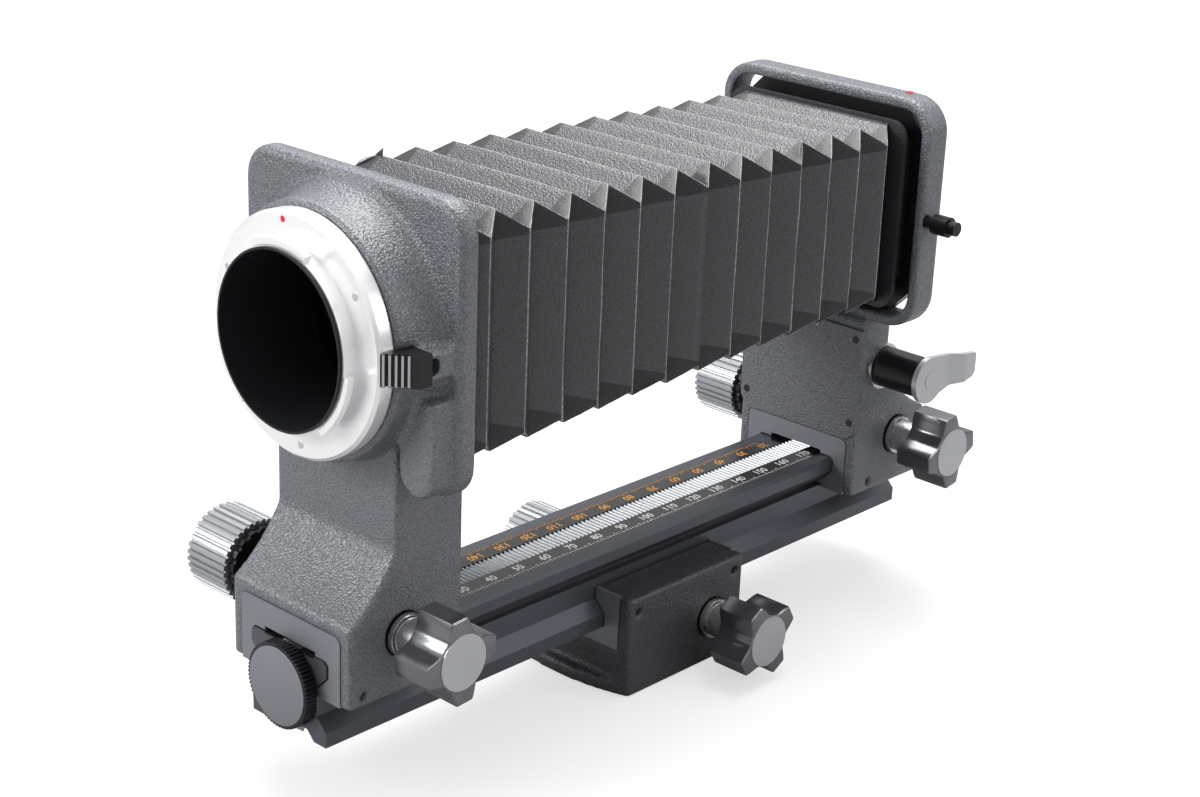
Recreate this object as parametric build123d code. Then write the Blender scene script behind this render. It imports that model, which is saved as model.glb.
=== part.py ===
"""Macro bellows focusing unit: a geared rail on a tripod block, with a camera standard and a lens
standard joined by a square bellows.

Millimetres, +Z up. The origin is the mouth of the tripod socket, in the middle of the block's
bottom face. +Y runs along the rail from the camera end to the lens end, and the clamp knobs are
on the +X side.
"""
import math
import os

from build123d import *

# ---------------------------------------------------------------- driving dimensions
# Rail, as a section across X: heights are above the datum, the top edge of the rail's flange.
RAIL_LENGTH = 230.0
RAIL_NEAR_Y = -122.0          # camera end of the rail
RAIL_DATUM_Z = 22.3           # the datum's height above the tripod face
HEAD_TOP = 19.0
HEAD_HALF = 14.1
HEAD_SIDE_LOW = 15.0
HEAD_CHAMFER = 0.95
NECK_INSET = 3.6              # neck and groove, each from the half width outside it
GROOVE_INSET = 2.2
GROOVE_HIGH = 10.9
GROOVE_LOW = 9.4
FLANGE_INSET = 0.2            # from the head's half width
FLANGE_BOTTOM = -4.0
CHANNEL_WALL = 4.5            # flange outside the channel along the underside
CHANNEL_DEPTH = 2.5
SLIDE_GAP = 0.3               # between the rail and what slides on it

# Racks, scale strips and the pinions that run on them
MODULE = 0.5
RACK_HALF = 3.5
RACK_TOP_THICK = 2.6          # overall, teeth included
PINION_TEETH = 22
PINION_HALF = 3.2
BACKLASH = 0.12
PRESSURE_ANGLE = math.radians(20)
STRIP_WIDTH = 5.5
STRIP_THICK = 0.5
STRIP_GAP = 0.3               # between the rack and a strip

# Cross shafts: a drive knob on the left, a clamp knob on the right
SHAFT_R = 3.0
RUN_GAP = 0.05                # running clearance on a radius
BUSH_R = 5.5
BUSH_SET = 1.4                # bush's inner face outside the rail's head
STUD_R = 4.0
DOG_R = 2.8
SHAFT_END_X = 9.4
DOG_END_X = 10.0
DRIVE_HUB_LENGTH = 9.0
DRIVE_HUB_R = 6.2
DRIVE_DISC_R = 10.2
DRIVE_DISC_THICK = 2.0
DRIVE_KNOB_R = 11.6
DRIVE_KNOB_LENGTH = 15.0
DRIVE_FLUTES = 36
FLUTE_DEPTH = 0.7
FACE_GAP = 0.3                # between a turning face and the casting beside it
STAR_LENGTH = 12.0
STAR_TIP_R = 11.5
STAR_CORE_R = 7.6
STAR_ARM_WIDTH = 6.2
STAR_NECK = 7.0               # collar to star
STAR_COLLAR_R = 5.6
STAR_COLLAR_LENGTH = 1.3
STAR_GROOVE = 0.5             # between the collar and the boss that carries the star
STAR_BOSS_R = 4.9
STAR_CAP_R = 7.2
STAR_CAP_THICK = 0.5
STAR_PHASES = {"rail": 30.0, "camera": 5.0, "lens": 8.0}

# Tripod block
BLOCK_WALL = 9.4              # outside the rail's head
BLOCK_LENGTH = 47.7
BLOCK_TOP = 6.8               # above the rail datum
LIP_HEIGHT = 4.0
LIP_BULGE = 3.5
LINER_WALL = 5.2              # outside the rail's head
LINER_BOTTOM = -9.3           # above the rail datum
LINER_THICK = 1.0
SOCKET_R = 3.0
SOCKET_DEPTH = 8.0
INSERT_R = 5.0

# Camera standard
CARRIAGE_BOTTOM = 8.6         # above the rail datum
CARRIAGE_WALL = 7.9           # outside the rail's head
CARRIAGE_DEPTH = 36.5
CAMERA_FRONT = 0.5            # from the rail's camera end
CAMERA_SHAFT_Y = 18.0
SHOULDER_Z = 29.9
COLUMN_FRONT = 15.0
COLUMN_FOOT_Z = 46.0
END_PLATE_WALL = 4.4          # outside the rail's head
END_PLATE_TOP = 27.0
END_PLATE_THICK = 1.0
RELIEF_GAP = 0.2              # slot over the scales, outside the strips
RELIEF_TOP = 20.3
PLATE_FRONT = 19.3
PLATE_THICK = 5.9
PLATE_HALF_X = 38.4
PLATE_RISE = 36.6             # plate above and below the optical axis
PLATE_DROP = 35.4
PLATE_CORNER = 8.5
PLATE_EDGE = 1.8
AXIS_HEIGHT = 97.4            # optical axis above the rail datum
SEAT_FRONT = 7.2              # round seat for the camera mount
SEAT_R = 31.5
SEAT_BASE_R = 35.6
MOUNT_BORE_R = 24.0
BULGE_INNER_X = 24.0
BULGE_OUTER_X = 36.0
BULGE_TOP_DROP = 9.4          # below the optical axis
BULGE_FRONT = 13.5

# Camera mount, which turns in the seat, and its release
FLANGE_FRONT = 2.6
FLANGE_R = 29.95
FLANGE_THICK = 4.3
BARREL_R = 22.5
BARREL_BORE_R = 20.5
BARREL_FRONT = -1.5
LUG_R = 24.2
LUG_THICK = 1.8
LUG_SPAN = 46.0
BAFFLE_R = 20.2
BAFFLE_WALL = 1.5
BAFFLE_FRONT = -2.3
RETAINER_R = 26.0
RETAINER_THICK = 1.5
RELEASE_INNER_X = 30.3
RELEASE_WIDTH = 7.1
RELEASE_HEIGHT = 7.8
RELEASE_FRONT = 2.4
RELEASE_DEPTH = 9.3
RELEASE_SLOPE = (5.4, 4.8)    # ribbed face, along X and back along Y
RELEASE_BEVEL = 0.6           # further back along Y, to the outer end
RELEASE_RIB_DEPTH = 0.8
RELEASE_TRAVEL = 2.5
RELEASE_RIBS = 5
RELEASE_OVERHANG = 0.4        # of the slider over the boss behind it

# Lens standard
LENS_FRONT = 196.7            # from the rail's camera end
LENS_DEPTH = 34.3
LENS_SHAFT_Y = 217.0
LENS_COLUMN_DEPTH = 13.0
COVER_BOTTOM = 26.5
COVER_THICK = 0.7
COVER_CORNER = 5.0
COVER_DROP = 3.0              # below the lens frame
COVER_SCREW_R = 1.1
RING_HALF_X = 37.6
RING_RISE = 33.6              # frame above and below the optical axis
RING_DROP = 33.4
RING_FRONT = 198.0
RING_DEPTH = 9.5
RING_WALL = 3.3
RING_CORNER = 10.0
PANEL_FRONT = 202.5
PANEL_THICK = 4.0
PANEL_CUT = 9.0
LENS_BORE_R = 21.5
LENS_HUB_R = 24.0
LENS_FLANGE_R = 30.0
LENS_FLANGE_THICK = 3.0
LEVER_Y = 205.4
LEVER_Z = 48.9
LEVER_HUB_R = 6.0
LEVER_HUB_STAND = 16.7        # hub's end outside the carriage
LEVER_WASHER_R = 6.9
LEVER_WASHER_THICK = 2.0
LEVER_PLATE_THICK = 1.6
LEVER_BLADE_R = 7.0
LEVER_CRANK = (10.0, 13.6)    # start and end of the blade's outward bend
LEVER_OFFSET = 2.7            # how far the bend carries the tip outward
LEVER_OUTLINE = ((0, 7.0), (10.0, 5.9), (13.6, 5.8), (18.3, 5.2), (18.8, 4.4), (18.8, -0.8),
                 (17.6, -2.1), (13.6, -3.0), (10.4, -3.7), (5.2, -5.0), (1.5, -6.8))
LEVER_SCREW_R = 2.5
LEVER_SCREW_SINK = 0.8
LEVER_PIVOT_R = 2.5
LATCH_DROP = 0.6              # below the optical axis
LATCH_STEM_R = 1.5
LATCH_HEAD_R = 2.9
LATCH_HEAD_LENGTH = 5.0
LATCH_TAB_REACH = 4.1
LATCH_TAB_THICK = 1.5

# Bellows: folds alternate between a tall narrow ring and a low wide ring, and taper to the lens
BELLOWS_REAR = 26.7
BELLOWS_FRONT = 194.7
BELLOWS_PITCHES = 13
BELLOWS_HALF_X = (33.5, 30.5)     # outer half width at the camera end and at the lens end
BELLOWS_HALF_Z = (30.5, 26.5)
BELLOWS_FOLD_X = 5.3
BELLOWS_FOLD_Z = 4.5
BELLOWS_WALL = 1.0
BELLOWS_LENS_FRAME_THICK = 1.8
BELLOWS_OPENING_R = 28.0

# End wheel on the rail's camera end
WHEEL_R = 11.25
WHEEL_THICK = 3.6
WHEEL_Z = 9.0
WHEEL_STUD_R = 2.5
WHEEL_STUD_DEPTH = 9.0

SET_SCREW_R = 1.2
SET_SCREW_DEPTH = 3.0

# ---------------------------------------------------------------- values that follow from them
PITCH = math.pi * MODULE
PITCH_R = PINION_TEETH * MODULE / 2
ADDENDUM = MODULE
DEDENDUM = 1.2 * MODULE
RACK_TOP_LINE = HEAD_TOP - ADDENDUM
RACK_LOW_LINE = FLANGE_BOTTOM + ADDENDUM
TOP_SHAFT = RACK_TOP_LINE + PITCH_R
LOW_SHAFT = RACK_LOW_LINE - PITCH_R
PINION_POCKET_R = PITCH_R + ADDENDUM + SLIDE_GAP
PLATE_BACK = PLATE_FRONT + PLATE_THICK
NECK_HALF = HEAD_HALF - NECK_INSET
GROOVE_HALF = NECK_HALF - GROOVE_INSET
FLANGE_HALF = HEAD_HALF - FLANGE_INSET
CHANNEL_HALF = FLANGE_HALF - CHANNEL_WALL
STRIP_EDGE = RACK_HALF + STRIP_GAP + STRIP_WIDTH
RELIEF_HALF_X = STRIP_EDGE + RELIEF_GAP
BUSH_INNER_X = HEAD_HALF + BUSH_SET
BLOCK_HALF_X = HEAD_HALF + BLOCK_WALL
BLOCK_SHAFT_Y = INSERT_R + PITCH_R + SLIDE_GAP
LINER_HALF_X = HEAD_HALF + LINER_WALL
CARRIAGE_HALF_X = HEAD_HALF + CARRIAGE_WALL
END_PLATE_HALF_X = HEAD_HALF + END_PLATE_WALL
COLUMN_TOP = AXIS_HEIGHT - PLATE_DROP
PLATE_TOP = AXIS_HEIGHT + PLATE_RISE
BULGE_TOP = AXIS_HEIGHT - BULGE_TOP_DROP
LENS_COLUMN_TOP = AXIS_HEIGHT - RING_DROP
RING_TOP = AXIS_HEIGHT + RING_RISE
COVER_TOP = LENS_COLUMN_TOP - COVER_DROP
LEVER_HUB_END_X = CARRIAGE_HALF_X + LEVER_HUB_STAND
LATCH_Y = PANEL_FRONT - LATCH_STEM_R - FACE_GAP
LATCH_Z = AXIS_HEIGHT - LATCH_DROP
WRITTEN = []


def at_y(distance):
    """Row Y of a distance from the rail's camera end."""
    return RAIL_NEAR_Y + distance


def at_z(height):
    """Row Z of a height above the rail datum."""
    return RAIL_DATUM_Z + height


def box(x0, x1, y0, y1, z0, z1):
    """Box between two corners."""
    return Pos((x0 + x1) / 2, (y0 + y1) / 2, (z0 + z1) / 2) * Box(x1 - x0, y1 - y0, z1 - z0)


def rod_x(radius, x0, x1, y, z):
    """Cylinder along X."""
    return Pos((x0 + x1) / 2, y, z) * Rot(0, 90, 0) * Cylinder(radius, x1 - x0)


def rod_y(radius, y0, y1, x, z):
    """Cylinder along Y."""
    return Pos(x, (y0 + y1) / 2, z) * Rot(90, 0, 0) * Cylinder(radius, y1 - y0)


def rod_z(radius, z0, z1, x, y):
    """Cylinder along Z."""
    return Pos(x, y, (z0 + z1) / 2) * Cylinder(radius, z1 - z0)


def face_xz(points, y):
    """Face in a plane across Y, from (x, z) corners."""
    return make_face(Polyline(*[(x, y, z) for x, z in points], close=True))


def prism_y(points, y0, y1):
    """Solid along Y whose section has the (x, z) corners."""
    return extrude(face_xz(points, y0), y1 - y0, dir=(0, 1, 0))


def prism_x(points, x0, x1):
    """Solid along X whose section has the (y, z) corners."""
    face = make_face(Polyline(*[(x0, y, z) for y, z in points], close=True))
    return extrude(face, x1 - x0, dir=(1, 0, 0))


def prism_z(points, z0, z1):
    """Solid along Z whose section has the (x, y) corners."""
    face = make_face(Polyline(*[(x, y, z0) for x, y in points], close=True))
    return extrude(face, z1 - z0, dir=(0, 0, 1))


def both_sides(half):
    """Closed outline from its +X half, listed from the top to the bottom."""
    return half + [(-x, z) for x, z in reversed(half) if x > 0]


def rounded_plate(half_x, z0, z1, y0, y1, corner):
    """Upright plate with rounded corners."""
    plate = box(-half_x, half_x, y0, y1, z0, z1)
    return fillet(plate.edges().filter_by(Axis.Y), corner)


def along_y(edges, y):
    """The edges that lie at a given Y."""
    return edges.filter_by_position(Axis.Y, y - 0.01, y + 0.01)


def write(name, shape):
    """Write one node."""
    if isinstance(shape, (list, tuple)):
        shape = Compound(children=list(shape))
    shape.label = name
    export_step(shape, f"parts/{name}.step")
    WRITTEN.append(name)


# ---------------------------------------------------------------- rail
def rail_half(gap=0.0):
    """+X half of the rail's outline, from the head to the underside, grown by a gap."""
    slope = gap * math.tan(math.radians(22.5))
    neck_drop = HEAD_HALF - NECK_HALF
    flange_rise = FLANGE_HALF - NECK_HALF
    points = [
        (HEAD_HALF - HEAD_CHAMFER + slope, HEAD_TOP + gap),
        (HEAD_HALF + gap, HEAD_TOP - HEAD_CHAMFER + slope),
        (HEAD_HALF + gap, HEAD_SIDE_LOW - slope),
        (NECK_HALF + slope, HEAD_SIDE_LOW - neck_drop - gap),
        (GROOVE_HALF + gap, GROOVE_HIGH - gap),
        (GROOVE_HALF + gap, GROOVE_LOW + gap),
        (NECK_HALF + gap, GROOVE_LOW + gap),
        (NECK_HALF + gap, flange_rise + slope),
        (FLANGE_HALF + gap, slope),
        (FLANGE_HALF + gap, FLANGE_BOTTOM - gap),
    ]
    return [(x, at_z(z)) for x, z in points]


def rail():
    """Extruded rail with its rack groove, strip seats, underside channel and end hole."""
    under = [
        (CHANNEL_HALF, at_z(FLANGE_BOTTOM)),
        (CHANNEL_HALF - CHANNEL_DEPTH, at_z(FLANGE_BOTTOM + CHANNEL_DEPTH)),
    ]
    body = prism_y(both_sides(rail_half() + under), at_y(0), at_y(RAIL_LENGTH))
    rack_floor = at_z(HEAD_TOP - RACK_TOP_THICK)
    strip_floor = at_z(HEAD_TOP - STRIP_THICK)
    body -= box(-RACK_HALF, RACK_HALF, at_y(-1), at_y(RAIL_LENGTH + 1), rack_floor, at_z(HEAD_TOP + 1))
    body -= box(-STRIP_EDGE, STRIP_EDGE, at_y(-1), at_y(RAIL_LENGTH + 1), strip_floor, at_z(HEAD_TOP + 1))
    hole_end = at_y(WHEEL_STUD_DEPTH + 1)
    body -= rod_y(WHEEL_STUD_R + RUN_GAP, at_y(-1), hole_end, 0, at_z(WHEEL_Z))
    return body


def rack(pitch_z, back_z):
    """Straight rack along the rail: teeth about pitch_z, back face at back_z."""
    up = 1 if pitch_z > back_z else -1
    half_tip = PITCH / 4 - BACKLASH / 4 - ADDENDUM * math.tan(PRESSURE_ANGLE)
    half_root = PITCH / 4 - BACKLASH / 4 + DEDENDUM * math.tan(PRESSURE_ANGLE)
    tip = at_z(pitch_z + up * ADDENDUM)
    root = at_z(pitch_z - up * DEDENDUM)
    count = int(RAIL_LENGTH / PITCH) - 1
    points = [(at_y(RAIL_LENGTH), root), (at_y(RAIL_LENGTH), at_z(back_z))]
    points += [(at_y(0), at_z(back_z)), (at_y(0), root)]
    for index in range(count):
        centre = at_y((index + 1) * PITCH)
        points += [(centre - half_root, root), (centre - half_tip, tip)]
        points += [(centre + half_tip, tip), (centre + half_root, root)]
    return prism_x(points, -RACK_HALF, RACK_HALF)


def scale_strips():
    """Two thin strips, one each side of the upper rack."""
    inner = RACK_HALF + STRIP_GAP
    low, high = at_z(HEAD_TOP - STRIP_THICK), at_z(HEAD_TOP)
    right = box(inner, inner + STRIP_WIDTH, at_y(0), at_y(RAIL_LENGTH), low, high)
    return [right, mirror(right, Plane.YZ)]


# ---------------------------------------------------------------- cross shafts
def involute_angle(radius, base_r):
    """Polar angle of an involute at a radius."""
    turn = math.sqrt(max((radius / base_r) ** 2 - 1, 0))
    return turn - math.atan(turn)


def pinion(y, z, rack_below):
    """Pinion whose nearest tooth space faces the rack tooth that is nearest the shaft."""
    base_r = PITCH_R * math.cos(PRESSURE_ANGLE)
    half_pitch_angle = (PITCH / 4 - BACKLASH / 4) / PITCH_R
    flank = half_pitch_angle + involute_angle(PITCH_R, base_r)
    radii = [base_r, PITCH_R, PITCH_R + ADDENDUM * 0.9]
    root_r = PITCH_R - DEDENDUM
    distance = y - at_y(0)
    tooth = round(distance / PITCH) * PITCH
    toward_rack = -math.pi / 2 if rack_below else math.pi / 2
    offset = (tooth - distance) / PITCH_R
    start = toward_rack + (offset if rack_below else -offset) + math.pi / PINION_TEETH
    points = []
    for index in range(PINION_TEETH):
        centre = start + index * 2 * math.pi / PINION_TEETH
        rising = [(root_r, centre - flank)]
        rising += [(r, centre - flank + involute_angle(r, base_r)) for r in radii]
        falling = [(r, 2 * centre - angle) for r, angle in reversed(rising)]
        points += [(y + r * math.cos(a), z + r * math.sin(a)) for r, a in rising + falling]
    return prism_x(points, -PINION_HALF, PINION_HALF)


def drive_set(name, half_x, y, z, rack_below):
    """Drive knob, its disc and hub, and the shaft with its pinion."""
    hub_face = -half_x - FACE_GAP
    disc_face = hub_face - DRIVE_HUB_LENGTH
    knob_face = disc_face - DRIVE_DISC_THICK
    knob_end = knob_face - DRIVE_KNOB_LENGTH
    shaft_end = knob_face - DRIVE_KNOB_LENGTH * 0.7
    shaft = rod_x(SHAFT_R, shaft_end, SHAFT_END_X, y, z) + pinion(y, z, rack_below)
    write(f"{name}_drive_shaft", shaft)
    hub = rod_x(DRIVE_HUB_R, disc_face, hub_face, y, z)
    disc = rod_x(DRIVE_DISC_R, knob_face, disc_face, y, z)
    scallops = DRIVE_FLUTES // 2
    for index in range(scallops):
        angle = 2 * math.pi * index / scallops
        notch_y = y + (DRIVE_DISC_R + 0.4) * math.cos(angle)
        notch_z = z + (DRIVE_DISC_R + 0.4) * math.sin(angle)
        disc -= rod_x(1.0, knob_face - 1, disc_face + 1, notch_y, notch_z)
    hub = hub + disc - rod_x(SHAFT_R, knob_face - 1, hub_face + 1, y, z)
    write(f"{name}_drive_hub", hub)
    points = []
    for index in range(DRIVE_FLUTES):
        for share, radius in ((0.0, DRIVE_KNOB_R), (0.5, DRIVE_KNOB_R), (0.62, DRIVE_KNOB_R - FLUTE_DEPTH),
                              (0.88, DRIVE_KNOB_R - FLUTE_DEPTH)):
            angle = 2 * math.pi * (index + share) / DRIVE_FLUTES
            points.append((y + radius * math.cos(angle), z + radius * math.sin(angle)))
    knob = prism_x(points, knob_end, knob_face) - rod_x(SHAFT_R, shaft_end, knob_face + 1, y, z)
    write(f"{name}_drive_knob", knob)


def star(x0, x1, y, z, phase):
    """Four-armed clamp knob."""
    outline = Circle(STAR_CORE_R)
    for turn in (0, 90):
        outline += Rot(0, 0, turn) * Rectangle(2 * STAR_TIP_R, STAR_ARM_WIDTH)
    inner = outline.vertices().filter_by(lambda v: math.hypot(v.X, v.Y) < STAR_TIP_R - 1)
    outline = fillet(inner, 2.4)
    tips = outline.vertices().filter_by(lambda v: math.hypot(v.X, v.Y) > STAR_TIP_R - 0.5)
    outline = fillet(tips, 1.4)
    knob = extrude(outline, x1 - x0)
    knob = chamfer(knob.faces().sort_by(Axis.Z)[-1].edges(), 0.7)
    return Pos(x0, y, z) * Rot(0, 90, 0) * Rot(0, 0, phase) * knob


def clamp_set(name, half_x, y, z):
    """Star knob, its face cap and the threaded stud with its collar."""
    collar_start = half_x + FACE_GAP
    collar_end = collar_start + STAR_COLLAR_LENGTH
    star_start = collar_end + STAR_NECK
    star_end = star_start + STAR_LENGTH
    stud_end = star_start + STAR_LENGTH / 2
    knob = star(star_start, star_end, y, z, STAR_PHASES[name])
    knob -= rod_x(STUD_R, star_start - 1, stud_end, y, z)
    knob -= rod_x(STAR_CAP_R, star_end - STAR_CAP_THICK, star_end + 1, y, z)
    write(f"{name}_clamp_star", knob)
    write(f"{name}_clamp_cap", rod_x(STAR_CAP_R, star_end - STAR_CAP_THICK, star_end + 0.2, y, z))
    stud = rod_x(STUD_R, BUSH_INNER_X, stud_end, y, z)
    stud += rod_x(STAR_COLLAR_R, collar_start, collar_end, y, z)
    stud += rod_x(STAR_BOSS_R, collar_end + STAR_GROOVE, star_start, y, z)
    stud += rod_x(DOG_R, DOG_END_X, BUSH_INNER_X, y, z)
    write(f"{name}_clamp_stud", stud)


def shaft_bores(half_x, y, z, rack_below):
    """What a carriage loses to its cross shaft, bushes and pinion."""
    bore = rod_x(SHAFT_R + RUN_GAP, -BUSH_INNER_X, BUSH_INNER_X, y, z)
    bore += rod_x(BUSH_R, -half_x - 1, -BUSH_INNER_X, y, z)
    bore += rod_x(BUSH_R, BUSH_INNER_X, half_x + 1, y, z)
    pocket_half = PINION_HALF + SLIDE_GAP
    bore += rod_x(PINION_POCKET_R, -pocket_half, pocket_half, y, z)
    window = PINION_POCKET_R if rack_below else -PINION_POCKET_R
    low, high = sorted((z, z - window))
    return bore + box(-pocket_half, pocket_half, y - 3, y + 3, low, high)


def bushes(half_x, y, z):
    """Shaft bush on the left, stud bush on the right."""
    left = rod_x(BUSH_R, -half_x, -BUSH_INNER_X, y, z)
    left -= rod_x(SHAFT_R + RUN_GAP, -half_x - 1, 0, y, z)
    right = rod_x(BUSH_R, BUSH_INNER_X, half_x, y, z)
    right -= rod_x(STUD_R + RUN_GAP, 0, half_x + 1, y, z)
    return [left, right]


def set_screw_holes(half_x, places):
    """Blind holes on the +X side, for set screws."""
    holes = Part()
    for y, z in places:
        holes += rod_x(SET_SCREW_R, half_x - SET_SCREW_DEPTH, half_x + 1, y, z)
    return holes


# ---------------------------------------------------------------- tripod block
def tripod_block():
    """Block that holds the rail's flange and stands on the tripod."""
    half_y = BLOCK_LENGTH / 2
    top = at_z(BLOCK_TOP)
    body = box(-BLOCK_HALF_X, BLOCK_HALF_X, -half_y, half_y, 0, top)
    body = fillet(body.edges().filter_by(Axis.Z), 1.5)
    chord = BLOCK_HALF_X - 1.5
    bulge_r = (chord ** 2 + LIP_BULGE ** 2) / (2 * LIP_BULGE)
    for side in (-1, 1):
        disc = rod_z(bulge_r, 0, LIP_HEIGHT, 0, side * (half_y + LIP_BULGE - bulge_r))
        y0, y1 = sorted((0, side * (half_y + LIP_BULGE + 1)))
        body += disc & box(-chord, chord, y0, y1, 0, LIP_HEIGHT)
    body -= prism_y(both_sides(rail_half(SLIDE_GAP)), -half_y - 5, half_y + 5)
    shaft_z = at_z(LOW_SHAFT)
    body -= shaft_bores(BLOCK_HALF_X, BLOCK_SHAFT_Y, shaft_z, rack_below=False)
    body -= rod_z(INSERT_R, -1, SOCKET_DEPTH, 0, 0)
    liner_low = at_z(LINER_BOTTOM)
    for side in (-1, 1):
        y0, y1 = sorted((side * (half_y - LINER_THICK), side * (half_y + 1)))
        body -= box(-LINER_HALF_X, LINER_HALF_X, y0, y1, liner_low, top + 1)
    hole_z = top - 4.5
    body -= set_screw_holes(BLOCK_HALF_X, [(-half_y + 4, hole_z), (half_y - 4, hole_z)])
    write("tripod_block", body)

    liners = []
    for side in (-1, 1):
        y0, y1 = sorted((side * (half_y - LINER_THICK), side * half_y))
        liner = box(-LINER_HALF_X, LINER_HALF_X, y0, y1, liner_low, top)
        liner -= prism_y(both_sides(rail_half(SLIDE_GAP)), y0 - 1, y1 + 1)
        liners.append(liner)
    write("block_end_liners", liners)
    insert = rod_z(INSERT_R, 0, SOCKET_DEPTH, 0, 0) - rod_z(SOCKET_R, -1, SOCKET_DEPTH + 1, 0, 0)
    write("tripod_insert", insert)
    write("block_bushes", bushes(BLOCK_HALF_X, BLOCK_SHAFT_Y, shaft_z))
    drive_set("rail", BLOCK_HALF_X, BLOCK_SHAFT_Y, shaft_z, rack_below=False)
    clamp_set("rail", BLOCK_HALF_X, BLOCK_SHAFT_Y, shaft_z)


# ---------------------------------------------------------------- both carriages
def rail_channel(y0, y1):
    """The space that the rail's head and the slot over its scales take from a carriage."""
    channel = prism_y(both_sides(rail_half(SLIDE_GAP)), y0, y1)
    return channel + box(-RELIEF_HALF_X, RELIEF_HALF_X, y0, y1, at_z(HEAD_TOP - 1), at_z(RELIEF_TOP))


def end_plate(half_x, top, face_y, inward):
    """Thin satin plate let into the end of a carriage round the rail."""
    y0, y1 = sorted((face_y, face_y + inward * END_PLATE_THICK))
    plate = box(-half_x, half_x, y0, y1, at_z(CARRIAGE_BOTTOM), at_z(top))
    plate = fillet(plate.edges().filter_by(Axis.Y).group_by(Axis.Z)[-1], 2.0)
    return plate, plate - rail_channel(y0 - 1, y1 + 1)


# ---------------------------------------------------------------- camera standard
def camera_carriage():
    """Carriage and column of the camera standard."""
    front = at_y(CAMERA_FRONT)
    back = front + CARRIAGE_DEPTH
    column = at_y(COLUMN_FRONT)
    bottom, top = at_z(CARRIAGE_BOTTOM), at_z(COLUMN_TOP)
    foot = at_z(COLUMN_FOOT_Z)
    shoulder = at_z(SHOULDER_Z)
    side = Polyline((0, column, foot), (0, column, top), (0, back, top), (0, back, bottom),
                    (0, front, bottom), (0, front, shoulder))
    middle = (0, front + (column - front) * 0.62, shoulder + (foot - shoulder) * 0.5)
    curve = ThreePointArc((0, front, shoulder), middle, (0, column, foot))
    body = extrude(make_face(side + curve), CARRIAGE_HALF_X, dir=(1, 0, 0), both=True)
    body -= rail_channel(front - 5, back + 5)
    shaft_y, shaft_z = at_y(CAMERA_SHAFT_Y), at_z(TOP_SHAFT)
    body -= shaft_bores(CARRIAGE_HALF_X, shaft_y, shaft_z, rack_below=True)
    recess, plate = end_plate(END_PLATE_HALF_X, END_PLATE_TOP, front, 1)
    body -= recess
    body -= set_screw_holes(CARRIAGE_HALF_X, [(front + 5, bottom + 2.6)])
    write("camera_carriage", body)
    write("camera_end_plate", plate)
    write("camera_bushes", bushes(CARRIAGE_HALF_X, shaft_y, shaft_z))
    drive_set("camera", CARRIAGE_HALF_X, shaft_y, shaft_z, rack_below=True)
    clamp_set("camera", CARRIAGE_HALF_X, shaft_y, shaft_z)


def camera_plate():
    """Upright plate with the round seat that the camera mount turns in."""
    axis_z = at_z(AXIS_HEIGHT)
    y0, y1 = at_y(PLATE_FRONT), at_y(PLATE_BACK)
    seat_y = at_y(SEAT_FRONT)
    low = at_z(COLUMN_TOP)
    plate = rounded_plate(PLATE_HALF_X, low, at_z(PLATE_TOP), y0, y1, PLATE_CORNER)
    plate = fillet(along_y(plate.edges(), y0), PLATE_EDGE)
    plate = fillet(along_y(plate.edges(), y1), PLATE_EDGE / 2)
    flare = Polyline((0, y0 + 1, 0), (0, seat_y, 0), (SEAT_R, seat_y, 0), (SEAT_R, seat_y + 2, 0))
    side = ThreePointArc((SEAT_R, seat_y + 2, 0), (SEAT_R + 1.1, y0 - 4, 0), (SEAT_BASE_R, y0 + 1, 0))
    section = make_face(flare + side + Line((SEAT_BASE_R, y0 + 1, 0), (0, y0 + 1, 0)))
    seat = Pos(0, 0, axis_z) * revolve(section, Axis.Y)
    seat = seat & box(-60, 60, seat_y, y1, low, at_z(PLATE_TOP))
    web_top = axis_z - SEAT_R * 0.6
    web = box(-CARRIAGE_HALF_X, CARRIAGE_HALF_X, at_y(COLUMN_FRONT), y0 + 1, low, web_top)
    bulge_mid = (BULGE_INNER_X + BULGE_OUTER_X) / 2
    bulge_r = (BULGE_OUTER_X - BULGE_INNER_X) / 2
    bulge_y = at_y(BULGE_FRONT)
    bulge = box(BULGE_INNER_X, BULGE_OUTER_X, bulge_y, y0 + 1, low + bulge_r + 1, at_z(BULGE_TOP))
    bulge += rod_y(bulge_r, bulge_y, y0 + 1, bulge_mid, low + bulge_r + 1)
    release_y = at_y(RELEASE_FRONT + RELEASE_DEPTH) + FACE_GAP
    release_half = RELEASE_HEIGHT / 2 - RELEASE_OVERHANG
    release_boss = box(MOUNT_BORE_R + 1, RELEASE_INNER_X + RELEASE_WIDTH - RELEASE_OVERHANG, release_y, y0 + 1,
                       axis_z - release_half, axis_z + release_half)
    body = plate + seat + web + bulge + release_boss
    body -= rod_y(MOUNT_BORE_R, seat_y - 1, y1 + 1, 0, axis_z)
    room = RELEASE_HEIGHT / 2 + FACE_GAP
    room_end = RELEASE_INNER_X + RELEASE_WIDTH + RELEASE_TRAVEL + FACE_GAP
    body -= box(RELEASE_INNER_X - FACE_GAP, room_end, seat_y - 1, release_y, axis_z - room, axis_z + room)
    stem = release_stem(FACE_GAP, RELEASE_TRAVEL)
    body -= stem
    write("camera_plate", body)


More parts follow.
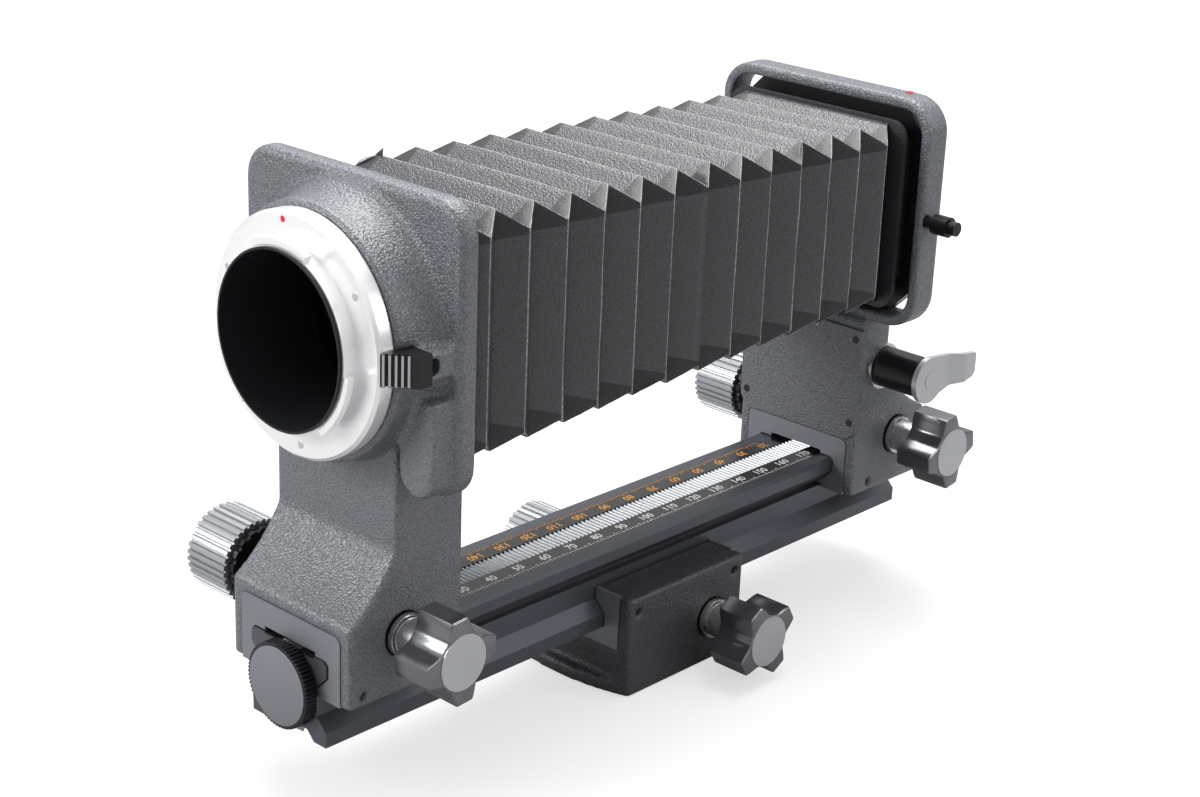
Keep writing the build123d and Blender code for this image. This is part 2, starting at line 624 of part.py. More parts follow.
def release_head():
    """The release slider's head, with ribs across its sloping face."""
    axis_z = at_z(AXIS_HEIGHT)
    low, high = axis_z - RELEASE_HEIGHT / 2, axis_z + RELEASE_HEIGHT / 2
    x0, y0 = RELEASE_INNER_X, at_y(RELEASE_FRONT)
    slope_x, slope_y = RELEASE_SLOPE
    x1, back = x0 + RELEASE_WIDTH, y0 + RELEASE_DEPTH
    outline = [(x0, y0), (x0 + slope_x, y0 + slope_y), (x1, y0 + slope_y + RELEASE_BEVEL), (x1, back), (x0, back)]
    head = prism_z(outline, low, high)
    run = math.hypot(slope_x, slope_y) / RELEASE_RIBS
    for index in range(1, RELEASE_RIBS):
        share = index / RELEASE_RIBS
        slot = Box(run / 2, 2 * RELEASE_RIB_DEPTH, 2 * RELEASE_HEIGHT)
        turn = Rot(0, 0, math.degrees(math.atan2(slope_y, slope_x)))
        head -= Pos(x0 + share * slope_x, y0 + share * slope_y, axis_z) * turn * slot
    return head


def release_stem(gap, travel):
    """Stem behind the release slider's head."""
    axis_z = at_z(AXIS_HEIGHT)
    y0 = at_y(RELEASE_FRONT + RELEASE_DEPTH)
    x0 = RELEASE_INNER_X + 0.6
    return box(x0 - gap, x0 + 3 + travel + gap, y0, y0 + 3 + gap, axis_z - 2 - gap, axis_z + 2 + gap)


def camera_mount():
    """Turning mount, its bayonet, baffle, retainer and release."""
    axis_z = at_z(AXIS_HEIGHT)
    flange_y, back_y = at_y(FLANGE_FRONT), at_y(FLANGE_FRONT + FLANGE_THICK)
    hub_end = at_y(PLATE_BACK) + FACE_GAP
    flange = rod_y(FLANGE_R, flange_y, back_y, 0, axis_z)
    flange = chamfer(along_y(flange.edges(), flange_y), 0.8)
    flange += rod_y(MOUNT_BORE_R - RUN_GAP, back_y, hub_end, 0, axis_z)
    flange -= rod_y(BARREL_R, flange_y - 1, hub_end + 1, 0, axis_z)
    write("mount_flange", flange)
    barrel_y = at_y(BARREL_FRONT)
    barrel = rod_y(BARREL_R, barrel_y, back_y, 0, axis_z)
    lugs = Part()
    for index in range(3):
        middle = math.radians(90 + 120 * index)
        half_span = math.radians(LUG_SPAN / 2)
        reach = LUG_R * 1.3
        wedge = [(0, axis_z)]
        wedge += [(reach * math.cos(middle + s * half_span), axis_z + reach * math.sin(middle + s * half_span))
                  for s in (-1, 0, 1)]
        lugs += rod_y(LUG_R, barrel_y, barrel_y + LUG_THICK, 0, axis_z) & prism_y(
            wedge, barrel_y, barrel_y + LUG_THICK)
    barrel = barrel + lugs - rod_y(BARREL_BORE_R, barrel_y - 1, back_y + 1, 0, axis_z)
    write("mount_bayonet", barrel)
    retainer_end = hub_end + RETAINER_THICK
    retainer = rod_y(RETAINER_R, hub_end, retainer_end, 0, axis_z)
    retainer -= rod_y(BARREL_BORE_R, hub_end - 1, retainer_end + 1, 0, axis_z)
    write("mount_retainer", retainer)
    baffle_y = at_y(BAFFLE_FRONT)
    baffle = rod_y(BAFFLE_R, baffle_y, retainer_end + 1.2, 0, axis_z)
    baffle += rod_y(MOUNT_BORE_R - 1, retainer_end, retainer_end + 1.2, 0, axis_z)
    baffle -= rod_y(BAFFLE_R - BAFFLE_WALL, baffle_y - 1, retainer_end + 2, 0, axis_z)
    write("mount_baffle", baffle)
    write("mount_release", release_head() + release_stem(0, 0))


# ---------------------------------------------------------------- lens standard
def lens_carriage():
    """Carriage and column of the lens standard."""
    front = at_y(LENS_FRONT)
    back = front + LENS_DEPTH
    column = front + LENS_COLUMN_DEPTH
    bottom, top = at_z(CARRIAGE_BOTTOM), at_z(LENS_COLUMN_TOP)
    shoulder, foot = at_z(SHOULDER_Z), at_z(COLUMN_FOOT_Z)
    side = Polyline((0, column, foot), (0, column, top), (0, front, top), (0, front, bottom),
                    (0, back, bottom), (0, back, shoulder))
    middle = (0, column + (back - column) * 0.38, shoulder + (foot - shoulder) * 0.5)
    curve = ThreePointArc((0, back, shoulder), middle, (0, column, foot))
    body = extrude(make_face(side + curve), CARRIAGE_HALF_X, dir=(1, 0, 0), both=True)
    body -= rail_channel(front - 5, back + 5)
    shaft_y, shaft_z = at_y(LENS_SHAFT_Y), at_z(TOP_SHAFT)
    body -= shaft_bores(CARRIAGE_HALF_X, shaft_y, shaft_z, rack_below=True)
    recess, plate = end_plate(END_PLATE_HALF_X, COVER_BOTTOM - 0.6, front, 1)
    body -= recess
    link_half = CARRIAGE_HALF_X - 5
    body -= box(-link_half, link_half, front - 1, front + 8, at_z(COVER_BOTTOM + 4), at_z(COVER_TOP - 4))
    lever_y, lever_z = at_y(LEVER_Y), at_z(LEVER_Z)
    body -= rod_x(LEVER_PIVOT_R + RUN_GAP, 12, CARRIAGE_HALF_X + 1, lever_y, lever_z)
    body -= set_screw_holes(CARRIAGE_HALF_X, [(front + 8.5, bottom + 2.8), (back - 5.5, bottom + 2.8)])
    places = cover_screw_places()
    for x, z in places:
        body -= rod_y(COVER_SCREW_R, front - 1, front + 3, x, z)
    write("lens_carriage", body)
    write("lens_end_plate", plate)
    write("lens_bushes", bushes(CARRIAGE_HALF_X, shaft_y, shaft_z))
    drive_set("lens", CARRIAGE_HALF_X, shaft_y, shaft_z, rack_below=True)
    clamp_set("lens", CARRIAGE_HALF_X, shaft_y, shaft_z)

    cover = box(-CARRIAGE_HALF_X, CARRIAGE_HALF_X, front - COVER_THICK, front, at_z(COVER_BOTTOM), at_z(COVER_TOP))
    cover = fillet(cover.edges().filter_by(Axis.Y).group_by(Axis.Z)[0], COVER_CORNER)
    screws = []
    for x, z in places:
        cover -= rod_y(COVER_SCREW_R, front - 2, front + 1, x, z)
        screws.append(rod_y(COVER_SCREW_R, front - COVER_THICK - 0.1, front + 3, x, z))
    write("link_cover", cover)
    write("cover_screws", screws)


def cover_screw_places():
    """The cover's screws, near its corners."""
    x = CARRIAGE_HALF_X - 2.4
    return [(side * x, at_z(z)) for side in (-1, 1) for z in (COVER_BOTTOM + 5.5, COVER_TOP - 3)]


def lens_ring():
    """Frame round the lens panel."""
    y0, y1 = at_y(RING_FRONT), at_y(RING_FRONT + RING_DEPTH)
    low, top = at_z(LENS_COLUMN_TOP), at_z(RING_TOP)
    ring = rounded_plate(RING_HALF_X, low, top, y0, y1, RING_CORNER)
    ring = fillet(along_y(ring.edges(), y1), 1.5)
    ring = fillet(along_y(ring.edges(), y0), 0.8)
    ring -= rounded_plate(RING_HALF_X - RING_WALL, low + RING_WALL, top - RING_WALL, y0 - 1, y1 + 1,
                          RING_CORNER - RING_WALL)
    latch_y, latch_z = at_y(LATCH_Y), at_z(LATCH_Z)
    ring -= rod_x(LATCH_STEM_R + RUN_GAP, RING_HALF_X - RING_WALL - 1, RING_HALF_X + 1, latch_y, latch_z)
    write("lens_frame", ring)
    half_x = RING_HALF_X - RING_WALL
    z0, z1 = low + RING_WALL, top - RING_WALL
    cut = PANEL_CUT
    outline = [(half_x - cut, z1), (half_x, z1 - cut), (half_x, z0 + cut), (half_x - cut, z0)]
    panel_y = at_y(PANEL_FRONT)
    panel_back = panel_y + PANEL_THICK
    axis_z = at_z(AXIS_HEIGHT)
    panel = prism_y(both_sides(outline), panel_y, panel_back)
    panel -= rod_y(LENS_HUB_R, panel_y - 1, panel_back + 1, 0, axis_z)
    write("lens_panel", panel)
    flange_end = panel_back + LENS_FLANGE_THICK
    mount = rod_y(LENS_HUB_R, panel_y, panel_back, 0, axis_z)
    mount += rod_y(LENS_FLANGE_R, panel_back, flange_end, 0, axis_z)
    mount = chamfer(along_y(mount.edges(), flange_end), 0.6)
    mount -= rod_y(LENS_BORE_R, panel_y - 1, flange_end + 1, 0, axis_z)
    write("lens_mount_ring", mount)


def lens_controls():
    """Stop-down lever on the carriage and latch knob on the frame."""
    y, z = at_y(LEVER_Y), at_z(LEVER_Z)
    washer_end = CARRIAGE_HALF_X + LEVER_WASHER_THICK
    washer = rod_x(LEVER_WASHER_R, CARRIAGE_HALF_X, washer_end, y, z)
    write("lever_washer", washer - rod_x(LEVER_PIVOT_R + RUN_GAP, 0, washer_end + 1, y, z))
    hub = rod_x(LEVER_HUB_R, washer_end + FACE_GAP, LEVER_HUB_END_X, y, z)
    hub += rod_x(LEVER_PIVOT_R, 14, washer_end + FACE_GAP, y, z)
    write("lever_hub", hub)
    face, plate_end = LEVER_HUB_END_X, LEVER_HUB_END_X + LEVER_PLATE_THICK
    outline = rod_x(LEVER_BLADE_R, face, plate_end, y, z)
    outline += prism_x([(y + dy, z + dz) for dy, dz in LEVER_OUTLINE], face, plate_end + LEVER_OFFSET)
    bend, flat = y + LEVER_CRANK[0], y + LEVER_CRANK[1]
    far = flat + LEVER_OUTLINE[4][0]
    ribbon = [(face, y - 2 * LEVER_BLADE_R), (face, bend), (face + LEVER_OFFSET, flat),
              (face + LEVER_OFFSET, far), (plate_end + LEVER_OFFSET, far),
              (plate_end + LEVER_OFFSET, flat), (plate_end, bend), (plate_end, y - 2 * LEVER_BLADE_R)]
    blade = outline & prism_z(ribbon, z - 2 * LEVER_BLADE_R, z + 2 * LEVER_BLADE_R)
    blade -= rod_x(LEVER_SCREW_R, plate_end - LEVER_SCREW_SINK, plate_end + 1, y, z)
    write("lever_blade", blade)
    screw_end = plate_end + LEVER_SCREW_SINK / 4
    write("lever_screw", rod_x(LEVER_SCREW_R, plate_end - LEVER_SCREW_SINK, screw_end, y, z))

    y, z = at_y(LATCH_Y), at_z(LATCH_Z)
    inner = RING_HALF_X - RING_WALL
    stem_end = RING_HALF_X + 2.5
    tab_end = inner - FACE_GAP
    tab_x = tab_end - LATCH_TAB_THICK
    stem = rod_x(LATCH_STEM_R, tab_x, stem_end, y, z)
    stem += box(tab_x, tab_end, y - LATCH_STEM_R, y + LATCH_STEM_R, z, z + LATCH_TAB_REACH)
    write("latch_tab", stem)
    knob = rod_x(LATCH_HEAD_R, stem_end, stem_end + LATCH_HEAD_LENGTH, y, z)
    knob += rod_x(LATCH_HEAD_R * 0.7, stem_end + LATCH_HEAD_LENGTH, stem_end + LATCH_HEAD_LENGTH + 2.5, y, z)
    write("latch_knob", knob)


# ---------------------------------------------------------------- bellows
def bellows_ring(share, tall):
    """Half sizes and height of the fold ring at a share of the way to the lens end."""
    half_x = BELLOWS_HALF_X[0] + (BELLOWS_HALF_X[1] - BELLOWS_HALF_X[0]) * share
    half_z = BELLOWS_HALF_Z[0] + (BELLOWS_HALF_Z[1] - BELLOWS_HALF_Z[0]) * share
    return (half_x - BELLOWS_FOLD_X, half_z) if tall else (half_x, half_z - BELLOWS_FOLD_Z)


def bellows_half(first, last):
    """Fold rings from one number to another, lofted and hollow."""
    steps = 2 * BELLOWS_PITCHES
    axis_z = at_z(AXIS_HEIGHT)
    length = BELLOWS_FRONT - BELLOWS_REAR

    def section(index, shrink):
        half_x, half_z = bellows_ring(index / steps, index % 2 == 0)
        y = at_y(BELLOWS_REAR + length * index / steps)
        x, z = half_x - shrink, half_z - shrink
        return face_xz([(-x, axis_z - z), (x, axis_z - z), (x, axis_z + z), (-x, axis_z + z)], y)

    body = Part()
    for index in range(first, last):
        outer = loft([section(index, 0), section(index + 1, 0)], ruled=True)
        inner = loft([section(index, BELLOWS_WALL), section(index + 1, BELLOWS_WALL)], ruled=True)
        body += outer - inner
    return body


def bellows():
    """Two halves of the bellows and the frames that hold its ends."""
    axis_z = at_z(AXIS_HEIGHT)
    write("bellows_rear", bellows_half(0, BELLOWS_PITCHES))
    write("bellows_front", bellows_half(BELLOWS_PITCHES, 2 * BELLOWS_PITCHES))
    y0 = at_y(PLATE_BACK)
    y1 = at_y(BELLOWS_REAR)
    rear_x, rear_z = BELLOWS_HALF_X[0], BELLOWS_HALF_Z[0]
    rear = rounded_plate(rear_x, axis_z - rear_z, axis_z + rear_z, y0, y1, 3)
    write("bellows_rear_frame", rear - rod_y(BELLOWS_OPENING_R, y0 - 1, y1 + 1, 0, axis_z))
    y0 = at_y(BELLOWS_FRONT)
    y1 = y0 + BELLOWS_LENS_FRAME_THICK
    front_x, front_z = BELLOWS_HALF_X[1] + 0.8, BELLOWS_HALF_Z[1] + 0.8
    front = rounded_plate(front_x, axis_z - front_z, axis_z + front_z, y0, y1, 5)
    collar_x, collar_z, cut = front_x - 3, front_z - 2.5, 5
    outline = [(collar_x - cut, axis_z + collar_z), (collar_x, axis_z + collar_z - cut),
               (collar_x, axis_z - collar_z + cut), (collar_x - cut, axis_z - collar_z)]
    front += prism_y(both_sides(outline), y1, at_y(PANEL_FRONT))
    write("bellows_lens_frame", front - rod_y(LENS_BORE_R + 1, y0 - 1, at_y(PANEL_FRONT) + 1, 0, axis_z))


# ---------------------------------------------------------------- end wheel
def end_wheel():
    """Knurled wheel on a stud in the rail's camera end."""
    z = at_z(WHEEL_Z)
    y1 = at_y(0) - FACE_GAP
    y0 = y1 - WHEEL_THICK
    wheel = rod_y(WHEEL_R, y0, y1, 0, z)
    wheel = chamfer(along_y(wheel.edges(), y0), 0.6)
    write("end_wheel", wheel - rod_y(WHEEL_STUD_R, y0 + 1.2, y1 + 1, 0, z))
    write("end_wheel_stud", rod_y(WHEEL_STUD_R, y0 + 1.2, at_y(WHEEL_STUD_DEPTH), 0, z))


def main():
    os.makedirs("parts", exist_ok=True)
    write("rail", rail())
    write("upper_rack", rack(RACK_TOP_LINE, HEAD_TOP - RACK_TOP_THICK))
    write("lower_rack", rack(RACK_LOW_LINE, FLANGE_BOTTOM + CHANNEL_DEPTH))
    write("scale_strips", scale_strips())
    end_wheel()
    tripod_block()
    camera_carriage()
    camera_plate()
    camera_mount()
    lens_carriage()
    lens_ring()
    lens_controls()
    bellows()
    print(len(WRITTEN), "nodes")


main()
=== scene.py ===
"""Looks of a macro bellows focusing unit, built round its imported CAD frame."""
import logging
import math
from dataclasses import dataclass, field
from enum import Enum
from typing import Callable, Iterable, Sequence

import bmesh
import bpy
from mathutils import Matrix, Vector, noise


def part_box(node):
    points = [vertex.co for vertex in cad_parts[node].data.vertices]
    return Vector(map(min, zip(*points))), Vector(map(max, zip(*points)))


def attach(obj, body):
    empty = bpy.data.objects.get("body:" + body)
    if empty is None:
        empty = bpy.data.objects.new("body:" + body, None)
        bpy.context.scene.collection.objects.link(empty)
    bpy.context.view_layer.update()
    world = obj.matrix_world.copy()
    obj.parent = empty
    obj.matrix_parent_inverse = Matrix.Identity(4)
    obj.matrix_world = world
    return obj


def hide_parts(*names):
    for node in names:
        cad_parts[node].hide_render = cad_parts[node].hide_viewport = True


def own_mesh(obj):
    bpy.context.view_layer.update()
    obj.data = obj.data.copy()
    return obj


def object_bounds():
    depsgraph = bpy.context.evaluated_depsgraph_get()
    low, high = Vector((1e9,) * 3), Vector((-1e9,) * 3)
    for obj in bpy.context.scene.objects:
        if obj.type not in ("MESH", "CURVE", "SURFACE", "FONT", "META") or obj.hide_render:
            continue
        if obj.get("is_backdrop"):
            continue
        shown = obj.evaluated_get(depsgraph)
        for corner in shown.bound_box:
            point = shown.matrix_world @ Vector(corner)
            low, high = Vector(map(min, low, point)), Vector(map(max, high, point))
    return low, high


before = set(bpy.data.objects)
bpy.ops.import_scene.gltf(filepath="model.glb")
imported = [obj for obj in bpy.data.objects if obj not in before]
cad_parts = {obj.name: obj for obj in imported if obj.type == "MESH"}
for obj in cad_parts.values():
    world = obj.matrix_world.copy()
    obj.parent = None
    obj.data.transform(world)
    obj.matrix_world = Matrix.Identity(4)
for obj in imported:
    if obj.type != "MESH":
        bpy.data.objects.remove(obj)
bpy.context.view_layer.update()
LOG = logging.getLogger("bellows_unit")
MM = 0.001


def linear(hex_colour: str) -> tuple[float, float, float, float]:
    """Turn an sRGB hex colour to linear RGBA.

    Args:
        hex_colour: Six hex digits with a leading hash.

    Returns:
        Linear red, green, blue and an alpha of 1.
    """
    channels = [int(hex_colour[i:i + 2], 16) / 255 for i in (1, 3, 5)]
    values = [c / 12.92 if c <= 0.04045 else ((c + 0.055) / 1.055) ** 2.4 for c in channels]
    return (*values, 1.0)


def add_node(tree: bpy.types.NodeTree, kind: str, inputs: dict | None = None,
             **settings) -> bpy.types.Node:
    """Add a node with its settings and links.

    Args:
        tree: Node tree that takes the node.
        kind: Blender's node type name.
        inputs: Socket names with a value, or with a socket to link from.
        settings: Attributes of the node itself.

    Returns:
        The new node.
    """
    node = tree.nodes.new(kind)
    for name, value in settings.items():
        setattr(node, name, value)
    for name, value in (inputs or {}).items():
        if isinstance(value, bpy.types.NodeSocket):
            tree.links.new(value, node.inputs[name])
        else:
            node.inputs[name].default_value = value
    return node


class Side(Enum):
    """Side of the rail that a scale strip lies on."""

    RIGHT = 1
    LEFT = -1


# ---------------------------------------------------------------- finishes
@dataclass(frozen=True)
class Finish:
    """A surface finish: its colour, gloss and the grain that its making leaves."""

    name: str
    colour: str
    roughness: float
    metallic: float = 0.0
    grain_mm: float = 0.5
    grain_depth_mm: float = 0.02
    grain_stretch: tuple[float, float, float] = (1.0, 1.0, 1.0)
    mottle: float = 0.12
    specular: float = 0.5
    gloss_spread: float = 0.12
    shade_span: tuple[float, float] = (0.3, 0.7)
    patch_scale: float = 60.0

    def build(self) -> bpy.types.Material:
        """Make the material.

        Returns:
            A node material with mottled colour, varied gloss and a bump; on the enamel and leather the
            colour's spread is painted light and shade on the grain.
        """
        material = bpy.data.materials.new(self.name)
        material.use_nodes = True
        tree = material.node_tree
        tree.nodes.clear()
        place = add_node(tree, "ShaderNodeTexCoord").outputs["Object"]
        grain = self.grain(tree, place)
        base = linear(self.colour)
        dark = tuple(c * (1 - self.mottle) for c in base[:3]) + (1.0,)
        light = tuple(min(c * (1 + self.mottle), 1) for c in base[:3]) + (1.0,)
        ramp = add_node(tree, "ShaderNodeValToRGB", {"Fac": self.shade(tree, place, grain)})
        for stop, colour, position in zip(ramp.color_ramp.elements, (dark, light), self.shade_span):
            stop.color = colour
            stop.position = position
        gloss = add_node(tree, "ShaderNodeMapRange", {
            "Value": grain, "To Min": self.roughness * (1 - self.gloss_spread),
            "To Max": min(self.roughness * (1 + self.gloss_spread), 1)})
        bump = add_node(tree, "ShaderNodeBump", {
            "Height": grain, "Strength": 1.0, "Distance": self.grain_depth_mm * MM})
        shader = add_node(tree, "ShaderNodeBsdfPrincipled", {
            "Base Color": ramp.outputs["Color"], "Roughness": gloss.outputs["Result"],
            "Normal": bump.outputs["Normal"], "Metallic": self.metallic,
            "Specular IOR Level": self.specular})
        add_node(tree, "ShaderNodeOutputMaterial", {"Surface": shader.outputs["BSDF"]})
        return material

    def grain(self, tree: bpy.types.NodeTree, place: bpy.types.NodeSocket) -> bpy.types.NodeSocket:
        """Height of the surface grain.

        Args:
            tree: The material's node tree.
            place: Socket with the object coordinates.

        Returns:
            Socket with the height, from 0 to 1.
        """
        stretch = add_node(tree, "ShaderNodeMapping", {"Vector": place, "Scale": self.grain_stretch})
        fine = add_node(tree, "ShaderNodeTexNoise", {
            "Vector": stretch.outputs["Vector"], "Scale": 1 / (self.grain_mm * MM), "Detail": 2.0,
            "Roughness": 0.6})
        return fine.outputs["Fac"]

    def shade(self, tree: bpy.types.NodeTree, place: bpy.types.NodeSocket,
              grain: bpy.types.NodeSocket) -> bpy.types.NodeSocket:
        """What drives the colour's spread: slow patches mixed with the grain.

        Args:
            tree: The material's node tree.
            place: Socket with the object coordinates.
            grain: Socket with the grain's height.

        Returns:
            Socket that the colour ramp reads.
        """
        patches = add_node(tree, "ShaderNodeTexNoise", {
            "Vector": place, "Scale": self.patch_scale, "Detail": 3.0})
        mix = add_node(tree, "ShaderNodeMix", {"Factor": 0.5}, data_type="FLOAT")
        tree.links.new(patches.outputs["Fac"], mix.inputs[2])
        tree.links.new(grain, mix.inputs[3])
        return mix.outputs[0]


@dataclass(frozen=True)
class CrackleEnamel(Finish):
    """Hammered crackle enamel, baked on a casting: raised beads, coloured lighter on their tops and darker in
    the valleys between as painted light and painted shade.
    """

    wander_scale: float = 900.0
    wander_reach: float = 0.6 * MM
    bead_edge: float = 0.8

    def grain(self, tree: bpy.types.NodeTree, place: bpy.types.NodeSocket) -> bpy.types.NodeSocket:
        """Beads of enamel, broken up by noise.

        Args:
            tree: The material's node tree.
            place: Socket with the object coordinates.

        Returns:
            Socket with the height, 1 on a bead's top.
        """
        wander = add_node(tree, "ShaderNodeTexNoise", {
            "Vector": place, "Scale": self.wander_scale, "Detail": 2.0})
        shift = add_node(tree, "ShaderNodeVectorMath", {"Scale": self.wander_reach}, operation="SCALE")
        tree.links.new(wander.outputs["Color"], shift.inputs[0])
        moved = add_node(tree, "ShaderNodeVectorMath", operation="ADD")
        tree.links.new(place, moved.inputs[0])
        tree.links.new(shift.outputs[0], moved.inputs[1])
        cells = add_node(tree, "ShaderNodeTexVoronoi", {
            "Vector": moved.outputs[0], "Scale": 1 / (self.grain_mm * MM)}, feature="SMOOTH_F1")
        flip = add_node(tree, "ShaderNodeMapRange", {
            "Value": cells.outputs["Distance"], "From Min": 0.0, "From Max": self.bead_edge,
            "To Min": 1.0, "To Max": 0.0})
        return flip.outputs["Result"]

    def shade(self, tree: bpy.types.NodeTree, place: bpy.types.NodeSocket,
              grain: bpy.types.NodeSocket) -> bpy.types.NodeSocket:
        """Painted light and shade: the colour follows bead height, lighter on the tops and darker in the
        valleys.

        Args:
            tree: The material's node tree. Not used.
            place: Socket with the object coordinates. Not used.
            grain: Socket with the grain's height.

        Returns:
            The grain itself.
        """
        return grain


@dataclass(frozen=True)
class PebbledLeather(CrackleEnamel):
    """Thin bookbinder's leather with a pressed pebble grain, with painted light on the pebble tops and
    painted shade between them; duller and greyer on the fold ridges, partly from handling and partly as a
    painted highlight.
    """


class Palette:
    """Every finish on the unit, built once."""

    def __init__(self) -> None:
        """Build the materials."""
        # Stove enamel on cast aluminium: coarse beads, soft sheen, with painted light on the bead tops and
        # painted shade in the valleys.
        enamel = CrackleEnamel("crackle_enamel", "#5d6066", 0.36, grain_mm=0.5, grain_depth_mm=0.2,
                               mottle=0.28, specular=0.8)
        # Bead-blasted and anodised extrusion: fine matt grain with long faint draw lines.
        rail = Finish("anodised_rail", "#5b5d64", 0.42, metallic=0.75, grain_mm=0.35, grain_depth_mm=0.012,
                      grain_stretch=(1, 0.06, 1), mottle=0.06)
        plate = Finish("anodised_plate", "#84868c", 0.5, metallic=0.7, grain_mm=0.3, grain_depth_mm=0.02,
                       mottle=0.07)
        # Turned and milled steel.
        steel = Finish("turned_steel", "#d4d4d6", 0.28, metallic=1.0, grain_mm=0.3, grain_depth_mm=0.006,
                       grain_stretch=(0.1, 1, 1), mottle=0.05)
        rack = Finish("milled_rack", "#b4b6b9", 0.32, metallic=1.0, grain_mm=0.25, grain_depth_mm=0.006,
                      mottle=0.05)
        # Satin chrome on the bayonet parts: turning marks run round the optical axis. Its near-white colour,
        # with metallic below 1 so that white diffuse adds to it, is partly a painted reflection of the bright
        # surroundings.
        chrome = Finish("satin_chrome", "#f4f4f5", 0.24, metallic=0.6, grain_mm=0.4, grain_depth_mm=0.004,
                        mottle=0.03)
        black = Finish("black_anodised", "#17181b", 0.34, metallic=0.35, grain_mm=0.3, grain_depth_mm=0.008,
                       grain_stretch=(0.15, 1, 1), mottle=0.12)
        # Flock-like matt black that keeps stray light down inside the mount.
        baffle = Finish("matt_baffle", "#1d1e21", 0.5, grain_mm=0.25, grain_depth_mm=0.02, mottle=0.15,
                        specular=0.2)
        knob = Finish("clear_anodised_knob", "#a9abae", 0.36, metallic=0.9, grain_mm=0.3,
                      grain_depth_mm=0.01, mottle=0.05)
        star = Finish("glossy_star_knob", "#7b7c81", 0.22, metallic=0.9, grain_mm=0.4, grain_depth_mm=0.004,
                      mottle=0.06)
        cap = Finish("spun_cap", "#b9babd", 0.42, metallic=0.7, grain_mm=0.25, grain_depth_mm=0.006,
                     mottle=0.05)
        # Pebbled leather, with painted light on the pebble tops and painted shade between them.
        leather = PebbledLeather("pebbled_leather", "#303135", 0.4, grain_mm=0.48, grain_depth_mm=0.13,
                                 mottle=0.3, specular=0.9)
        # Darker leather: on the bellows' fold corners it is painted shade; on the lens frame and the lifted
        # corner it is simply the darker leather.
        corner = PebbledLeather("dark_leather_and_corner_shade", "#26272a", 0.42, grain_mm=0.5, grain_depth_mm=0.04,
                                mottle=0.2, specular=0.5)
        # Fold ridges are light grey: partly rubbed to the grey hide under the dye, partly a painted highlight
        # where the ridges catch the light.
        worn_and_highlit = PebbledLeather("worn_and_highlit_leather", "#88898c", 0.6, grain_mm=0.5, grain_depth_mm=0.05,
                              mottle=0.35, specular=0.4)
        strip = Finish("scale_strip", "#1b1c1f", 0.22, metallic=0.2, grain_mm=0.3, grain_depth_mm=0.003,
                       mottle=0.08, specular=0.7)
        white = Finish("white_ink", "#f4f4f2", 0.5, grain_mm=0.3, grain_depth_mm=0.002, mottle=0.02)
        orange = Finish("orange_ink", "#e39a35", 0.5, grain_mm=0.3, grain_depth_mm=0.002, mottle=0.03)
        red = Finish("red_ink", "#c8202c", 0.4, grain_mm=0.3, grain_depth_mm=0.002, mottle=0.03)
        brass = Finish("turned_brass", "#b48f4c", 0.32, metallic=1.0, grain_mm=0.3, grain_depth_mm=0.005,
                       mottle=0.06)
        # Darker enamel on the tripod block, with the same painted light on the bead tops and painted shade in
        # the valleys.
        block = CrackleEnamel("block_enamel", "#37383c", 0.38, grain_mm=0.5, grain_depth_mm=0.2,
                              mottle=0.3, specular=0.6)
        finishes = (enamel, rail, plate, steel, rack, chrome, black, baffle, knob, star, cap, leather, corner,
                    worn_and_highlit, strip, white, orange, red, brass, block)
        self.materials = {finish.name: finish.build() for finish in finishes}

    def __getitem__(self, name: str) -> bpy.types.Material:
        """Look up a material.

        Args:
            name: Name of its finish.

        Returns:
            The material.
        """
        return self.materials[name]


# ---------------------------------------------------------------- pieces
SHARP_ANGLE = math.radians(38)
MERGE_GAP = 1e-6


def finish_piece(name: str, shape: bmesh.types.BMesh, materials: Sequence[bpy.types.Material], body: str,
                 smooth: bool = True) -> bpy.types.Object:
    """Turn a bmesh into a piece that rides on a body.

    Args:
        name: The piece's name.
        shape: Mesh in metres, in the row frame. It is freed.
        materials: Material slots, in the order of the faces' indices.
        body: CAD body that carries the piece.
        smooth: Whether faces shade smoothly.

    Returns:
        The new object.
    """
    mesh = bpy.data.meshes.new(name)
    shape.normal_update()
    shape.to_mesh(mesh)
    shape.free()
    for material in materials:
        mesh.materials.append(material)
    if smooth:
        mesh.shade_smooth()
        mesh.set_sharp_from_angle(angle=SHARP_ANGLE)
    piece = bpy.data.objects.new(name, mesh)
    bpy.context.collection.objects.link(piece)
    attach(piece, body)
    LOG.info("%s rides on %s with %d faces", name, body, len(mesh.polygons))
    return piece


def bake_modifiers(piece: bpy.types.Object) -> None:
    """Apply a piece's modifiers to its mesh.

    Args:
        piece: Object whose mesh is replaced.
    """
    graph = bpy.context.evaluated_depsgraph_get()
    made = bpy.data.meshes.new_from_object(piece.evaluated_get(graph))
    piece.modifiers.clear()
    old = piece.data
    piece.data = made
    bpy.data.meshes.remove(old)


def node_copy(names: Iterable[str]) -> bmesh.types.BMesh:
    """Merged copy of CAD nodes.

    Args:
        names: CAD node names.

    Returns:
        One bmesh in the row frame, with its doubles merged.
    """
    shape = bmesh.new()
    for name in names:
        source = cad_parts[name]
        part = source.data.copy()
        part.transform(source.matrix_world)
        shape.from_mesh(part)
        bpy.data.meshes.remove(part)
    bmesh.ops.remove_doubles(shape, verts=shape.verts, dist=MERGE_GAP)
    return shape


def axis_turn(axis: str) -> Matrix:
    """Rotation that lays a shape's +Z along the named row axis.

    Args:
        axis: X, Y or Z.

    Returns:
        The rotation as a 4 by 4 matrix.
    """
    turns = {"X": Matrix.Rotation(math.radians(90), 4, "Y"),
             "Y": Matrix.Rotation(math.radians(-90), 4, "X"),
             "Z": Matrix.Identity(4)}
    return turns[axis]


